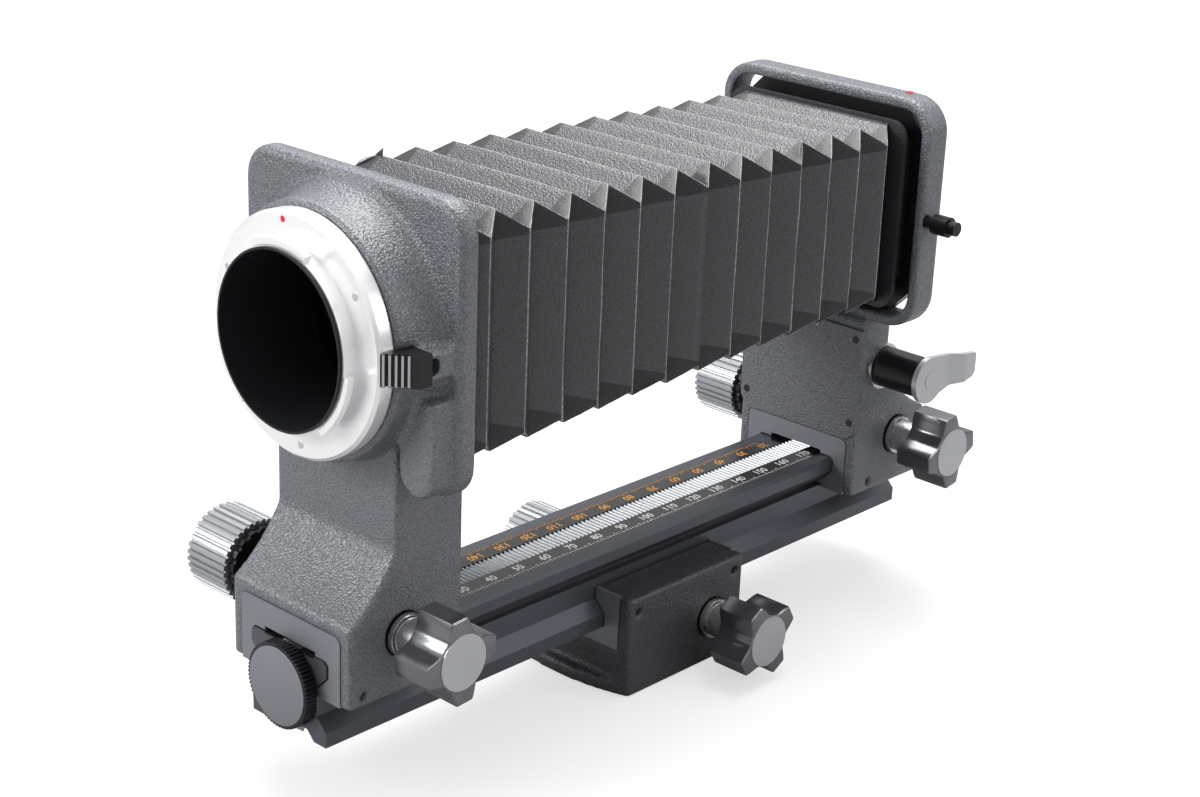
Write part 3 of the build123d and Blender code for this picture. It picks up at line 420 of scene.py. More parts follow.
def disc(radius_at: Callable[[float], float], depth: float, steps: int, bevel: float) -> bmesh.types.BMesh:
    """Solid disc along +Z from zero, with an outline given by angle.

    Args:
        radius_at: Radius for an angle in radians.
        depth: Thickness.
        steps: Points round the outline.
        bevel: Rounding of both rims.

    Returns:
        The disc as a bmesh.
    """
    shape = bmesh.new()
    bmesh.ops.create_circle(shape, cap_ends=True, segments=steps, radius=1.0)
    for vertex in shape.verts:
        angle = math.atan2(vertex.co.y, vertex.co.x)
        vertex.co = Vector((math.cos(angle), math.sin(angle), 0)) * radius_at(angle)
    made = bmesh.ops.extrude_face_region(shape, geom=shape.faces[:])
    raised = [g for g in made["geom"] if isinstance(g, bmesh.types.BMVert)]
    bmesh.ops.translate(shape, verts=raised, vec=(0, 0, depth))
    bmesh.ops.recalc_face_normals(shape, faces=shape.faces[:])
    if bevel:
        rims = [e for e in shape.edges if abs(e.verts[0].co.z - e.verts[1].co.z) < depth * 0.01]
        bmesh.ops.bevel(shape, geom=rims, offset=bevel, segments=3, profile=0.5, affect="EDGES",
                        material=-1)
    return shape


@dataclass
class Castings:
    """Enamelled castings: CAD shapes with the soft corners that sand casting and enamel leave."""

    voxel: float = 0.6 * MM
    smoothing: int = 14
    smooth_factor: float = 0.5
    bridge_inset: float = 2.5 * MM
    bridge_thick: float = 2.5 * MM
    bridge_reach: float = 2.6 * MM
    groups: tuple[tuple[str, str, tuple[str, ...], str], ...] = (
        ("camera_casting", "camera_standard", ("camera_carriage", "camera_plate"), "crackle_enamel"),
        ("lens_casting", "lens_standard", ("lens_carriage", "lens_frame"), "crackle_enamel"),
        ("block_casting", "tripod_block", ("tripod_block",), "block_enamel"),
    )

    def build(self, palette: Palette) -> None:
        """Build each casting and hide the CAD nodes that it stands for.

        Args:
            palette: Finishes.
        """
        for name, body, nodes, finish in self.groups:
            shape = node_copy(nodes)
            if len(nodes) > 1:
                self.bridge(shape, *nodes)
            piece = finish_piece(name, shape, [palette[finish]], body)
            remesh = piece.modifiers.new("cast", "REMESH")
            remesh.mode = "VOXEL"
            remesh.voxel_size = self.voxel
            soften = piece.modifiers.new("soften", "SMOOTH")
            soften.factor = self.smooth_factor
            soften.iterations = self.smoothing
            bake_modifiers(piece)
            piece.data.shade_smooth()
            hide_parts(*nodes)

    def bridge(self, shape: bmesh.types.BMesh, lower: str, upper: str) -> None:
        """Join two castings that meet face to face with a thin block inside both.

        Args:
            shape: Mesh that holds both castings.
            lower: CAD node of the lower one.
            upper: CAD node of the upper one.
        """
        high_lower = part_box(lower)[1]
        high_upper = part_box(upper)[1]
        front = min(high_lower[1], high_upper[1]) - self.bridge_inset
        half_x = min(high_lower[0], high_upper[0]) - self.bridge_inset
        made = bmesh.ops.create_cube(shape, size=1.0)["verts"]
        bmesh.ops.scale(shape, verts=made, vec=(2 * half_x, self.bridge_thick, 2 * self.bridge_reach))
        bmesh.ops.translate(shape, verts=made, vec=(0, front - self.bridge_thick / 2, high_lower[2]))


@dataclass
class Bellows:
    """Folded leather tube whose rings alternate between tall and wide."""

    pitches: int = 13
    half_x: tuple[float, float] = (33.5 * MM, 30.5 * MM)
    half_z: tuple[float, float] = (30.5 * MM, 26.5 * MM)
    fold_x: float = 5.3 * MM
    fold_z: float = 4.5 * MM
    crease_wide: float = 7.5 * MM
    crease_narrow: float = 1.4 * MM
    ridge_round: float = 0.24 * MM
    wall: float = 0.7 * MM
    ripple: float = 0.28 * MM
    ripple_scales: tuple[float, float] = (90, 260)
    panel_cuts: int = 3
    cut_from: float = 6 * MM
    ridge_angle: float = math.radians(20)
    travel: float = 67 * MM

    def outline(self, index: int) -> list[Vector]:
        """Twelve points of a ring about the optical axis.

        Args:
            index: Number of the ring, counted from the camera end.

        Returns:
            The points as (x, z), sorted by angle.
        """
        share = index / (2 * self.pitches)
        x = self.half_x[0] + (self.half_x[1] - self.half_x[0]) * share
        z = self.half_z[0] + (self.half_z[1] - self.half_z[0]) * share
        tall = index % 2 == 0
        x, z = (x - self.fold_x, z) if tall else (x, z - self.fold_z)
        down = self.crease_wide if tall else self.crease_narrow
        across = self.crease_narrow if tall else self.crease_wide
        quarter = [(x, z - down), (x, z), (x - across, z)]
        points = [Vector((sx * px, sz * pz)) for px, pz in quarter for sx in (1, -1) for sz in (1, -1)]
        return sorted(points, key=lambda p: math.atan2(p.y, p.x))

    def half(self, name: str, first: int, last: int, palette: Palette, body: str) -> None:
        """Build one half.

        Args:
            name: The piece's name.
            first: Index of its first ring.
            last: Index of its last ring.
            palette: Finishes.
            body: Standard that carries it.
        """
        low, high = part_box("bellows_rear")[0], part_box("bellows_front")[1]
        mount_low, mount_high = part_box("mount_flange")
        axis_z = (mount_low[2] + mount_high[2]) / 2
        length = high[1] - low[1]
        shape = bmesh.new()
        shape.verts.layers.int.new("corner")
        upright = Matrix.Translation((0, low[1], axis_z)) @ Matrix.Rotation(math.radians(90), 4, "X")
        ring = bmesh.ops.create_circle(shape, segments=12, radius=self.half_x[0], matrix=upright)["verts"]
        self.place(shape, ring, first, low[1], length, axis_z)
        edges = shape.edges[:]
        for index in range(first + 1, last + 1):
            made = bmesh.ops.extrude_edge_only(shape, edges=edges)["geom"]
            ring = [g for g in made if isinstance(g, bmesh.types.BMVert)]
            self.place(shape, ring, index, low[1], length, axis_z)
            edges = [g for g in made if isinstance(g, bmesh.types.BMEdge) and all(v in ring for v in g.verts)]
        self.dress(shape)
        piece = finish_piece(name, shape, [palette["pebbled_leather"], palette["dark_leather_and_corner_shade"],
                                           palette["worn_and_highlit_leather"]], body)
        thick = piece.modifiers.new("wall", "SOLIDIFY")
        thick.thickness = self.wall
        thick.offset = -1
        bake_modifiers(piece)
        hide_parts(name.replace("leather", "bellows"))
        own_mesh(piece)

    def place(self, shape: bmesh.types.BMesh, ring: list[bmesh.types.BMVert], index: int, start_y: float,
              length: float, axis_z: float) -> None:
        """Move a ring's vertices to its outline and tag the ones at its four corners.

        Args:
            shape: Mesh that holds the ring.
            ring: The ring's vertices.
            index: Number of the ring, counted from the camera end.
            start_y: Where the bellows starts.
            length: Length of both halves.
            axis_z: Height of the optical axis.
        """
        tag = shape.verts.layers.int["corner"]
        y = start_y + length * index / (2 * self.pitches)
        ordered = sorted(ring, key=lambda v: math.atan2(v.co.z - axis_z, v.co.x))
        points = self.outline(index)
        half_x = max(p.x for p in points)
        half_z = max(p.y for p in points)
        for vertex, point in zip(ordered, points):
            vertex.co = Vector((point.x, y, axis_z + point.y))
            vertex[tag] = int(abs(point.x) > half_x - MERGE_GAP and abs(point.y) > half_z - MERGE_GAP)

    def dress(self, shape: bmesh.types.BMesh) -> None:
        """Give the corner faces darker leather as painted shade, round the ridges and give them the light
        grey ridge leather (partly wear, partly a painted highlight), and ripple the panels.

        Args:
            shape: Mesh of one half, with its corners tagged.
        """
        tag = shape.verts.layers.int["corner"]
        # Faces that touch a ring's corner take the darker leather: painted shade in the fold corners.
        for face in shape.faces:
            face.material_index = int(any(v[tag] for v in face.verts))
        bmesh.ops.recalc_face_normals(shape, faces=shape.faces[:])
        long_edges = [e for e in shape.edges if e.calc_length() > self.cut_from]
        bmesh.ops.subdivide_edges(shape, edges=long_edges, cuts=self.panel_cuts, use_grid_fill=True)
        ridges = [e for e in shape.edges if len(e.link_faces) == 2 and e.is_convex
                  and e.calc_face_angle(0) > self.ridge_angle]
        # The rounded ridges take the light grey leather: partly wear, partly a painted highlight.
        bmesh.ops.bevel(shape, geom=ridges, offset=self.ridge_round, segments=2, profile=0.5, affect="EDGES",
                        material=2)
        coarse, fine = self.ripple_scales
        for vertex in shape.verts:
            wave = noise.noise(vertex.co * coarse) + 0.5 * noise.noise(vertex.co * fine)
            open_end = any(len(e.link_faces) < 2 for e in vertex.link_edges)
            if not open_end:
                vertex.co += vertex.normal * wave * self.ripple

    def build(self, palette: Palette) -> None:
        """Build both halves.

        Args:
            palette: Finishes.
        """
        self.half("leather_rear", 0, self.pitches, palette, "camera_standard")
        self.half("leather_front", self.pitches, 2 * self.pitches, palette, "lens_standard")


@dataclass
class RailScales:
    """Printed figures and millimetre ticks on the two scale strips."""

    figure_size: float = 3.5 * MM
    ink: float = 0.03 * MM
    tick_width: float = 0.22 * MM
    tick_short: float = 0.8 * MM
    tick_long: float = 1.35 * MM
    figure_inset: float = 3.0 * MM
    zero_right: float = 22.4 * MM
    zero_left: float = 208.7 * MM
    span: tuple[int, int] = (20, 170)
    long_every: int = 5
    figure_every: int = 10
    end_gap: float = 1.0 * MM
    edge_gap: float = 0.15 * MM
    figure_swell: float = 0.05 * MM
    figures: dict = field(default_factory=dict)

    def build(self, palette: Palette) -> None:
        """Print both strips.

        Args:
            palette: Finishes.
        """
        low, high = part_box("scale_strips")
        self.print_strip("scale_print_white", Side.RIGHT, low, high, palette["white_ink"])
        self.print_strip("scale_print_orange", Side.LEFT, low, high, palette["orange_ink"])

    def print_strip(self, name: str, side: Side, low: Vector, high: Vector,
                    ink: bpy.types.Material) -> None:
        """Print one strip.

        Args:
            name: The piece's name.
            side: Which strip.
            low: Lowest corner of both strips.
            high: Highest corner of both strips.
            ink: Material of the print.
        """
        sign = side.value
        shape = bmesh.new()
        zero = self.zero_right if side is Side.RIGHT else self.zero_left
        start, stop = self.span
        for step in range(start, stop + 1):
            y = low[1] + zero + sign * step * MM
            if not low[1] + self.end_gap < y < high[1] - self.end_gap:
                continue
            reach = self.tick_short if step % self.long_every else self.tick_long
            self.tick(shape, sign * (high[0] - self.edge_gap - reach / 2), y, high[2], reach)
            if step % self.figure_every == 0:
                self.figure(shape, str(step), sign, sign * (high[0] - self.figure_inset), y, high[2])
        finish_piece(name, shape, [ink], "rail", smooth=False)

    def tick(self, shape: bmesh.types.BMesh, x: float, y: float, z: float, reach: float) -> None:
        """Add one tick as a thin bar.

        Args:
            shape: Mesh that takes it.
            x: Middle of the tick across the rail.
            y: Middle of the tick along the rail.
            z: Top of the strip.
            reach: Length of the tick.
        """
        made = bmesh.ops.create_cube(shape, size=1.0)["verts"]
        bmesh.ops.scale(shape, verts=made, vec=(reach, self.tick_width, self.ink))
        bmesh.ops.translate(shape, verts=made, vec=(x, y, z + self.ink / 2))

    def figure(self, shape: bmesh.types.BMesh, text: str, sign: int, x: float, y: float,
               z: float) -> None:
        """Add one number, upright to a reader on its own side of the rail.

        Args:
            shape: Mesh that takes it.
            text: The number.
            sign: 1 on the right strip, -1 on the left.
            x: Middle of the number across the rail.
            y: Middle of the number along the rail.
            z: Top of the strip.
        """
        if text not in self.figures:
            curve = bpy.data.curves.new("figure", "FONT")
            curve.body = text
            curve.size = self.figure_size
            curve.extrude = self.ink / 2
            curve.offset = self.figure_swell
            curve.resolution_u = 3
            curve.align_x = "CENTER"
            curve.align_y = "CENTER"
            holder = bpy.data.objects.new("figure", curve)
            bpy.context.collection.objects.link(holder)
            graph = bpy.context.evaluated_depsgraph_get()
            self.figures[text] = bpy.data.meshes.new_from_object(holder.evaluated_get(graph))
            bpy.data.objects.remove(holder)
        mesh = self.figures[text].copy()
        mesh.transform(Matrix.Translation((x, y, z + self.ink / 2))
                       @ Matrix.Rotation(math.radians(90 * sign), 4, "Z"))
        shape.from_mesh(mesh)
        bpy.data.meshes.remove(mesh)


@dataclass
class ClampKnobs:
    """Four-armed clamp knobs with waisted arms and flat tips."""

    core: float = 7.5 * MM
    tip: float = 11.3 * MM
    lobe_power: float = 1.7
    lobe_swell: float = 1.16
    steps: int = 144
    bevel: float = 0.55 * MM
    phases: dict = field(default_factory=lambda: {"rail": 30.0, "camera": 5.0, "lens": 8.0})

    def radius(self, angle: float) -> float:
        """Outline radius of the knob.

        Args:
            angle: Angle from an arm's centre line, in radians.

        Returns:
            The radius there.
        """
        off = math.remainder(angle, math.pi / 2)
        swell = ((1 + math.cos(4 * off)) / 2) ** self.lobe_power
        lobe = self.core + (self.tip * self.lobe_swell - self.core) * swell
        return min(lobe, self.tip / math.cos(off))

    def build(self, palette: Palette) -> None:
        """Build the three knobs.

        Args:
            palette: Finishes.
        """
        for name, phase in self.phases.items():
            node = f"{name}_clamp_star"
            low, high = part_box(node)
            cap_low, cap_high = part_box(f"{name}_clamp_cap")
            y, z = (cap_low[1] + cap_high[1]) / 2, (cap_low[2] + cap_high[2]) / 2
            shape = disc(self.radius, high[0] - low[0], self.steps, self.bevel)
            turn = Matrix.Rotation(math.radians(phase), 4, "Z")
            place = Matrix.Translation((low[0], y, z)) @ axis_turn("X") @ turn
            bmesh.ops.transform(shape, matrix=place, verts=shape.verts[:])
            piece = finish_piece(f"{name}_star_knob", shape, [palette["glossy_star_knob"]], f"{name}_clamp")
            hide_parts(node)


@dataclass
class Wheel:
    """Knurled end wheel with a turned face."""

    notches: int = 66
    knurl: float = 0.45 * MM
    steps_per_notch: int = 6
    rim_bevel: float = 0.12 * MM
    face_stand: float = 0.25 * MM
    face_inset: float = 1.0 * MM
    face_thick: float = 0.3 * MM
    face_steps: int = 96
    face_bevel: float = 0.1 * MM

    def build(self, palette: Palette) -> None:
        """Build the wheel's knurled rim and its plain face.

        Args:
            palette: Finishes.
        """
        low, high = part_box("end_wheel")
        radius = (high[0] - low[0]) / 2
        centre = Vector(((low[0] + high[0]) / 2, low[1], (low[2] + high[2]) / 2))

        def rim(angle: float) -> float:
            """Rim radius with knurl notches.

            Args:
                angle: Angle round the wheel, in radians.

            Returns:
                The radius there.
            """
            return radius - self.knurl * (0.5 - 0.5 * math.cos(angle * self.notches)) ** 2

        depth = high[1] - low[1] - self.face_stand
        knurled = disc(rim, depth, self.notches * self.steps_per_notch, self.rim_bevel)
        face = disc(lambda _: radius - self.face_inset, self.face_thick, self.face_steps, self.face_bevel)
        for part, name, lift, finish in ((knurled, "wheel_rim", self.face_stand, "black_anodised"),
                                         (face, "wheel_face", 0.0, "anodised_plate")):
            place = Matrix.Translation(centre + Vector((0, lift, 0))) @ axis_turn("Y")
            bmesh.ops.transform(part, matrix=place, verts=part.verts[:])
            piece = finish_piece(name, part, [palette[finish]], "end_wheel")
        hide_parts("end_wheel")


@dataclass
class MountTube:
    """Thin-walled bayonet tube with its lugs, and the black baffle that lines it."""

    wall: float = 0.4 * MM
    lining: float = 0.6 * MM
    lug_count: int = 3
    lug_thick: float = 1.8 * MM
    lug_rise: float = 1.7 * MM
    lug_sink: float = 0.1 * MM
    lug_span: float = math.radians(46)
    lug_start: float = math.radians(90)
    lining_foot: float = 1.2 * MM
    steps: int = 120
    rib_count: int = 5
    rib_half: float = 0.28 * MM
    rib_rise: float = 0.08 * MM
    rib_inset: float = 0.3 * MM
    slope: tuple[float, float] = (5.4 * MM, 4.8 * MM)

    def build(self, palette: Palette) -> None:
        """Build the tube, its lining and the painted highlights on the release's ribs.

        Args:
            palette: Finishes.
        """
        low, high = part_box("mount_bayonet")
        axis_z = (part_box("mount_flange")[0][2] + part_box("mount_flange")[1][2]) / 2
        lug = high[2] - axis_z
        outer = lug - self.lug_rise
        bore = outer - self.wall
        profile = [(bore, low[1]), (outer, low[1]), (outer, high[1]), (bore, high[1])]
        shape = self.lathe(profile, axis_z, 0, math.tau)
        root = outer - self.lug_sink
        lip = [(root, low[1]), (lug, low[1]), (lug, low[1] + self.lug_thick), (root, low[1] + self.lug_thick)]
        for index in range(self.lug_count):
            start = self.lug_start + math.tau * index / self.lug_count - self.lug_span / 2
            part = self.lathe(lip, axis_z, start, self.lug_span)
            mesh = bpy.data.meshes.new("lug")
            part.to_mesh(mesh)
            part.free()
            shape.from_mesh(mesh)
            bpy.data.meshes.remove(mesh)
        piece = finish_piece("bayonet_tube", shape, [palette["satin_chrome"]], "camera_mount")
        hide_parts("mount_bayonet")
        low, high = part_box("mount_baffle")
        inner = bore - self.lining
        foot = high[2] - axis_z
        step = high[1] - self.lining_foot
        profile = [(inner, low[1]), (bore, low[1]), (bore, step), (foot, step), (foot, high[1]),
                   (inner, high[1])]
        piece = finish_piece("mount_lining", self.lathe(profile, axis_z, 0, math.tau),
                             [palette["matt_baffle"]], "camera_mount")
        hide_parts("mount_baffle")
        self.ribs(palette)

    def lathe(self, profile: Sequence[tuple[float, float]], axis_z: float, start: float,
              span: float) -> bmesh.types.BMesh:
        """Spin a closed (radius, y) profile about the optical axis.

        Args:
            profile: Corners of the section.
            axis_z: Height of the axis.
            start: First angle from +X toward +Z.
            span: Angle to spin through, a full turn closes the shape.

        Returns:
            The solid as a bmesh.
        """
        shape = bmesh.new()
        corners = bmesh.ops.create_circle(shape, cap_ends=True, segments=len(profile), radius=1.0)["verts"]
        turn = Matrix.Translation((0, 0, axis_z)) @ Matrix.Rotation(-start, 4, "Y")
        for vertex, (radius, y) in zip(corners, profile):
            vertex.co = turn @ Vector((radius, y, 0))
        full = math.isclose(span, math.tau)
        steps = self.steps if full else max(int(self.steps * span / math.tau), 2)
        geometry = shape.verts[:] + shape.edges[:] + shape.faces[:]
        made = bmesh.ops.spin(shape, geom=geometry, cent=(0, 0, axis_z), axis=(0, -1, 0), angle=span,
                              steps=steps, use_merge=False, use_normal_flip=False, use_duplicate=False)
        if full:
            bmesh.ops.delete(shape, geom=[f for f in made["geom_last"] if isinstance(f, bmesh.types.BMFace)],
                             context="FACES_ONLY")
            bmesh.ops.remove_doubles(shape, verts=shape.verts[:], dist=MERGE_GAP)
        inside = [f for f in shape.faces if all(len(e.link_faces) > 2 for e in f.edges)]
        bmesh.ops.delete(shape, geom=inside, context="FACES_ONLY")
        bmesh.ops.recalc_face_normals(shape, faces=shape.faces[:])
        return shape

    def ribs(self, palette: Palette) -> None:
        """Painted highlights: bright bars on the crests of the release slider's ribs.

        Args:
            palette: Finishes.
        """
        low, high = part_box("mount_release")
        shape = bmesh.new()
        turn = Matrix.Rotation(math.atan2(self.slope[1], self.slope[0]), 4, "Z")
        for index in range(self.rib_count):
            share = (index + 0.5) / self.rib_count
            made = bmesh.ops.create_cube(shape, size=1.0)["verts"]
            bmesh.ops.scale(shape, verts=made, vec=(2 * self.rib_half, 2 * self.rib_rise,
                                                    high[2] - low[2] - self.rib_inset))
            spot = Matrix.Translation((low[0] + share * self.slope[0], low[1] + share * self.slope[1],
                                       (low[2] + high[2]) / 2))
            bmesh.ops.transform(shape, matrix=spot @ turn, verts=made)
        finish_piece("release_rib_highlights", shape, [palette["spun_cap"]], "mount_release",
                     smooth=False)


@dataclass
class SmallMarks:
    """Index dots, mount screws and the torn corner of leather."""

    thick: float = 0.3 * MM
    stand: float = 0.08 * MM
    steps: int = 32
    dot: float = 1.1 * MM
    mount_dot: float = 0.8 * MM
    mount_dot_inset: float = 2.2 * MM
    mount_dot_turn: int = 97
    screw: float = 1.0 * MM
    screw_inset: float = 3.6 * MM
    screw_turns: tuple[int, ...] = (35, 155, 275)
    frame_inset: tuple[float, float] = (12.5 * MM, 3.2 * MM)
    flap_size: float = 3.4 * MM
    flap_place: tuple[float, float] = (-26.0 * MM, 25.8 * MM)
    flap_sink: float = 0.4 * MM
    flap_lean: float = math.radians(24)
    flap_flat: float = 0.35
    flap_bevel: float = 0.12 * MM

    def build(self, palette: Palette) -> None:
        """Add the small marks.

        Args:
            palette: Finishes.
        """
        self.stud("mount_index", self.flange_spot(self.mount_dot_turn, self.mount_dot_inset), "Y",
                  self.mount_dot, palette["red_ink"], "camera_mount")
        for turn in self.screw_turns:
            self.stud(f"mount_screw_{turn}", self.flange_spot(turn, self.screw_inset), "Y", self.screw,
                      palette["turned_steel"], "camera_mount")
        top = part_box("lens_frame")[1]
        self.stud("frame_index", Vector((top[0] - self.frame_inset[0], top[1] - self.frame_inset[1], top[2])),
                  "Z", self.dot, palette["red_ink"], "lens_standard")
        self.flap(palette)

    @staticmethod
    def flange_spot(turn: int, inset: float) -> Vector:
        """Find a point on the mount flange's face.

        Args:
            turn: Angle from +X toward +Z, in degrees.
            inset: Distance inward from the flange's rim.

        Returns:
            The point.
        """
        low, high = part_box("mount_flange")
        axis = Vector((0, low[1], (low[2] + high[2]) / 2))
        angle = math.radians(turn)
        return axis + Vector((math.cos(angle), 0, math.sin(angle))) * ((high[0] - low[0]) / 2 - inset)

    def flap(self, palette: Palette) -> None:
        """Corner of leather that has lifted from a fold near the camera end.

        Args:
            palette: Finishes.
        """
        shape = bmesh.new()
        made = bmesh.ops.create_cone(shape, cap_ends=True, segments=3, radius1=self.flap_size * 0.6,
                                     radius2=self.flap_size * 0.08, depth=self.flap_size)["verts"]
        bmesh.ops.scale(shape, verts=made, vec=(1, self.flap_flat, 1))
        low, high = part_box("bellows_rear")
        x, along = self.flap_place
        spot = Matrix.Translation((x, low[1] + along, high[2] - self.flap_sink))
        bmesh.ops.transform(shape, matrix=spot @ Matrix.Rotation(self.flap_lean, 4, "Y"), verts=made)
        bmesh.ops.bevel(shape, geom=shape.edges[:], offset=self.flap_bevel, segments=2, profile=0.5,
                        affect="EDGES", material=-1)
        finish_piece("lifted_corner", shape, [palette["dark_leather_and_corner_shade"]], "camera_standard")

    def stud(self, name: str, spot: Vector, axis: str, radius: float, material: bpy.types.Material,
             body: str) -> None:
        """Add a low round mark that is let into a surface.

        Args:
            name: The piece's name.
            spot: Middle of the mark on the surface.
            axis: Row axis that the mark points along, Y on the mount's face or Z on top.
            radius: Radius of the mark.
            material: Its material.
            body: CAD body that carries it.
        """
        shape = disc(lambda _: radius, self.thick, self.steps, self.stand)
        lift = {"Y": Vector((0, -self.stand, 0)), "Z": Vector((0, 0, 0))}[axis]
        place = Matrix.Translation(spot + lift) @ axis_turn(axis)
        bmesh.ops.transform(shape, matrix=place, verts=shape.verts[:])
        finish_piece(name, shape, [material], body)


@dataclass
class NodeFinishes:
    """Finish of each CAD node that stays as it is."""

    by_node: dict = field(default_factory=lambda: {
        "rail": "anodised_rail", "upper_rack": "milled_rack", "lower_rack": "milled_rack",
        "scale_strips": "scale_strip", "end_wheel_stud": "turned_steel", "end_wheel": "anodised_plate",
        "block_end_liners": "anodised_plate", "camera_end_plate": "anodised_plate",
        "lens_end_plate": "anodised_plate", "tripod_insert": "turned_brass",
        "mount_flange": "satin_chrome", "mount_bayonet": "satin_chrome", "lens_mount_ring": "satin_chrome",
        "mount_baffle": "matt_baffle", "mount_retainer": "black_anodised", "mount_release": "black_anodised",
        "lens_panel": "black_anodised", "bellows_rear_frame": "black_anodised",
        "bellows_lens_frame": "dark_leather_and_corner_shade", "link_cover": "crackle_enamel",
        "cover_screws": "black_anodised", "lever_washer": "turned_steel", "lever_hub": "black_anodised",
        "lever_blade": "spun_cap", "lever_screw": "spun_cap", "latch_tab": "black_anodised",
        "latch_knob": "black_anodised",
    })
    by_ending: dict = field(default_factory=lambda: {
        "_bushes": "black_anodised", "_drive_shaft": "turned_steel", "_drive_hub": "black_anodised",
        "_drive_knob": "clear_anodised_knob", "_clamp_star": "glossy_star_knob", "_clamp_cap": "spun_cap",
        "_clamp_stud": "turned_steel",
    })

    def build(self, palette: Palette) -> None:
        """Give every node its material, which is the enamel where nothing else is named.

        Args:
            palette: Finishes.
        """
        for name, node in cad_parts.items():
            finish = self.by_node.get(name, "crackle_enamel")
            for ending, value in self.by_ending.items():
                if name.endswith(ending):
                    finish = value
            node.data.materials.clear()
            node.data.materials.append(palette[finish])
            LOG.info("%s takes %s", name, finish)


@dataclass(frozen=True)
class SoftBox:
    """A square lamp with soft edges."""

    name: str
    spot: tuple[float, float, float]
    size: float
    power: float


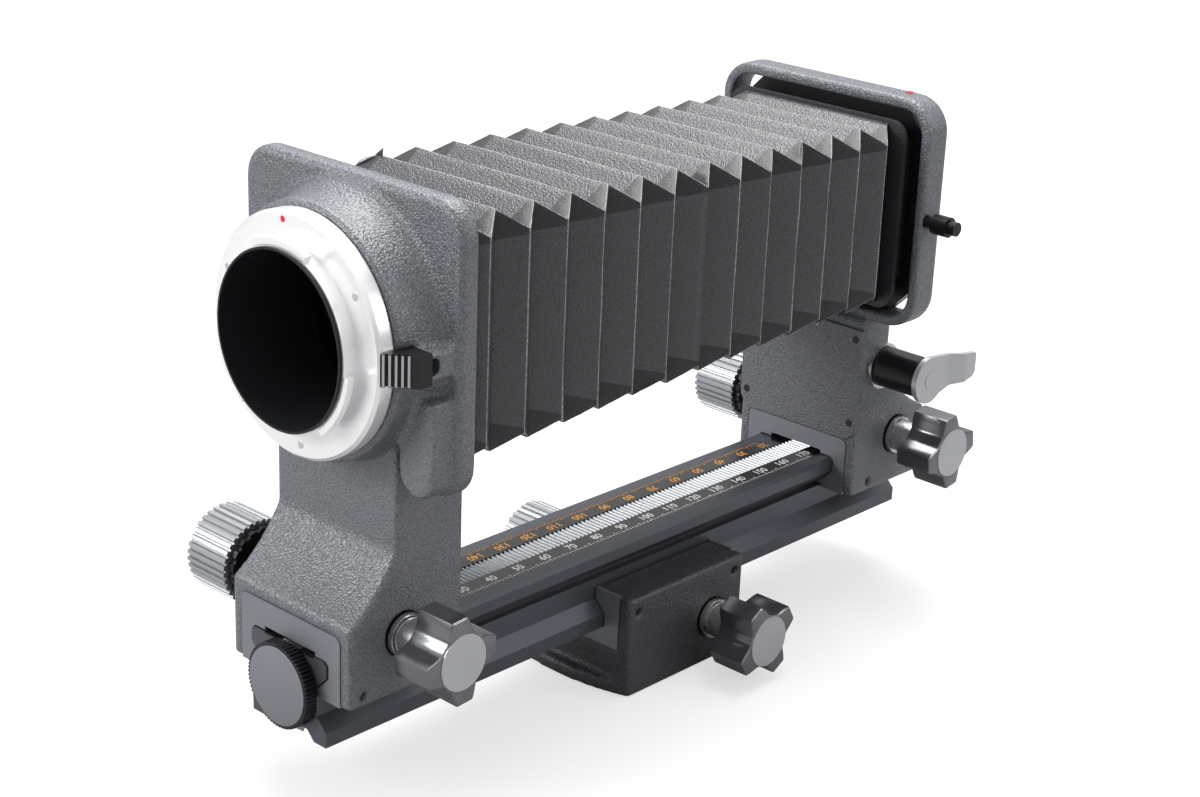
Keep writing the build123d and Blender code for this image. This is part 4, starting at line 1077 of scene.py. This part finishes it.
@dataclass
class Studio:
    """Camera, floor and soft light."""

    position: tuple[float, float, float] = (0.3858, -0.4350, 0.2931)
    right: tuple[float, float, float] = (0.72614511, 0.68667873, 0.0344325)
    up: tuple[float, float, float] = (-0.26717446, 0.23567678, 0.93438443)
    back: tuple[float, float, float] = (0.63350698, -0.69768817, 0.35459857)
    lens: float = 67.84
    sensor: float = 36.0
    clip: tuple[float, float] = (0.01, 50)
    floor_size: float = 6.0
    floor_drop: float = 0.2 * MM
    floor_colour: tuple[float, float, float, float] = (0.86, 0.86, 0.87, 1)
    floor_fade: float = 0.6
    low_level: float = 0.3
    middle_level: float = 0.62
    middle_height: float = 0.22
    top_height: float = 0.75
    target: tuple[float, float, float] = (0, -0.01, 0.08)
    boxes: tuple[SoftBox, ...] = (
        SoftBox("overhead", (-0.2, 0.2, 1.0), 0.8, 15.0),
        SoftBox("left_front", (-0.55, -0.95, 0.55), 0.5, 8.5),
        SoftBox("right_rim", (0.9, 0.5, 0.5), 0.3, 2.0),
    )

    def build(self) -> None:
        """Build the studio."""
        self.camera()
        self.floor()
        self.world()
        self.lamps()

    def camera(self) -> None:
        """Place the camera."""
        data = bpy.data.cameras.new("camera")
        data.lens = self.lens
        data.sensor_width = self.sensor
        data.clip_start, data.clip_end = self.clip
        camera = bpy.data.objects.new("camera", data)
        bpy.context.collection.objects.link(camera)
        turn = Matrix((self.right, self.up, self.back)).transposed()
        camera.matrix_world = Matrix.Translation(self.position) @ turn.to_4x4()
        bpy.context.scene.camera = camera

    def floor(self) -> None:
        """Pale floor under the tripod block that fades to white for the camera."""
        shape = bmesh.new()
        bmesh.ops.create_grid(shape, x_segments=1, y_segments=1, size=self.floor_size)
        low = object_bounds()[0]
        bmesh.ops.translate(shape, verts=shape.verts[:], vec=(0, 0, low[2] - self.floor_drop))
        mesh = bpy.data.meshes.new("floor")
        shape.to_mesh(mesh)
        shape.free()
        material = bpy.data.materials.new("floor")
        material.use_nodes = True
        tree = material.node_tree
        tree.nodes.clear()
        matt = add_node(tree, "ShaderNodeBsdfDiffuse", {"Color": self.floor_colour})
        path = add_node(tree, "ShaderNodeLightPath")
        glow = add_node(tree, "ShaderNodeEmission", {
            "Color": (1, 1, 1, 1), "Strength": path.outputs["Is Camera Ray"]})
        mix = add_node(tree, "ShaderNodeMixShader", {"Fac": self.floor_fade})
        tree.links.new(matt.outputs["BSDF"], mix.inputs[1])
        tree.links.new(glow.outputs["Emission"], mix.inputs[2])
        add_node(tree, "ShaderNodeOutputMaterial", {"Surface": mix.outputs["Shader"]})
        mesh.materials.append(material)
        floor = bpy.data.objects.new("floor", mesh)
        bpy.context.collection.objects.link(floor)
        floor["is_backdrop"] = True

    def world(self) -> None:
        """White surroundings for the camera, with darker cards low down for metal to reflect."""
        world = bpy.data.worlds.new("studio")
        bpy.context.scene.world = world
        world.use_nodes = True
        tree = world.node_tree
        tree.nodes.clear()
        direction = add_node(tree, "ShaderNodeTexCoord").outputs["Generated"]
        height = add_node(tree, "ShaderNodeSeparateXYZ", {"Vector": direction})
        cards = add_node(tree, "ShaderNodeValToRGB", {"Fac": height.outputs["Z"]})
        ramp = cards.color_ramp
        ramp.elements[0].position, ramp.elements[0].color = 0.0, (*[self.low_level] * 3, 1)
        ramp.elements[1].position, ramp.elements[1].color = self.top_height, (1, 1, 1, 1)
        middle = ramp.elements.new(self.middle_height)
        middle.color = (*[self.middle_level] * 3, 1)
        path = add_node(tree, "ShaderNodeLightPath")
        seen = add_node(tree, "ShaderNodeMix", {"Factor": path.outputs["Is Camera Ray"]}, data_type="RGBA")
        tree.links.new(cards.outputs["Color"], seen.inputs[6])
        seen.inputs[7].default_value = (1, 1, 1, 1)
        sky = add_node(tree, "ShaderNodeBackground", {"Color": seen.outputs[2]})
        add_node(tree, "ShaderNodeOutputWorld", {"Surface": sky.outputs["Background"]})

    def lamps(self) -> None:
        """Large soft boxes: overhead, left front and a narrow one on the right."""
        target = Vector(self.target)
        for box in self.boxes:
            data = bpy.data.lights.new(box.name, "AREA")
            data.size = box.size
            data.energy = box.power
            lamp = bpy.data.objects.new(box.name, data)
            bpy.context.collection.objects.link(lamp)
            lamp.location = box.spot
            lamp.rotation_mode = "QUATERNION"
            lamp.rotation_quaternion = (target - Vector(box.spot)).to_track_quat("-Z", "Y")


def main() -> None:
    """Build the studio and every piece."""
    logging.basicConfig(level=logging.INFO)
    bpy.context.scene.view_settings.view_transform = "Standard"
    Studio().build()
    palette = Palette()
    NodeFinishes().build(palette)
    for assembly in (Castings(), Bellows(), RailScales(), ClampKnobs(), Wheel(), MountTube(), SmallMarks()):
        assembly.build(palette)


if __name__ == "__main__":
    main()
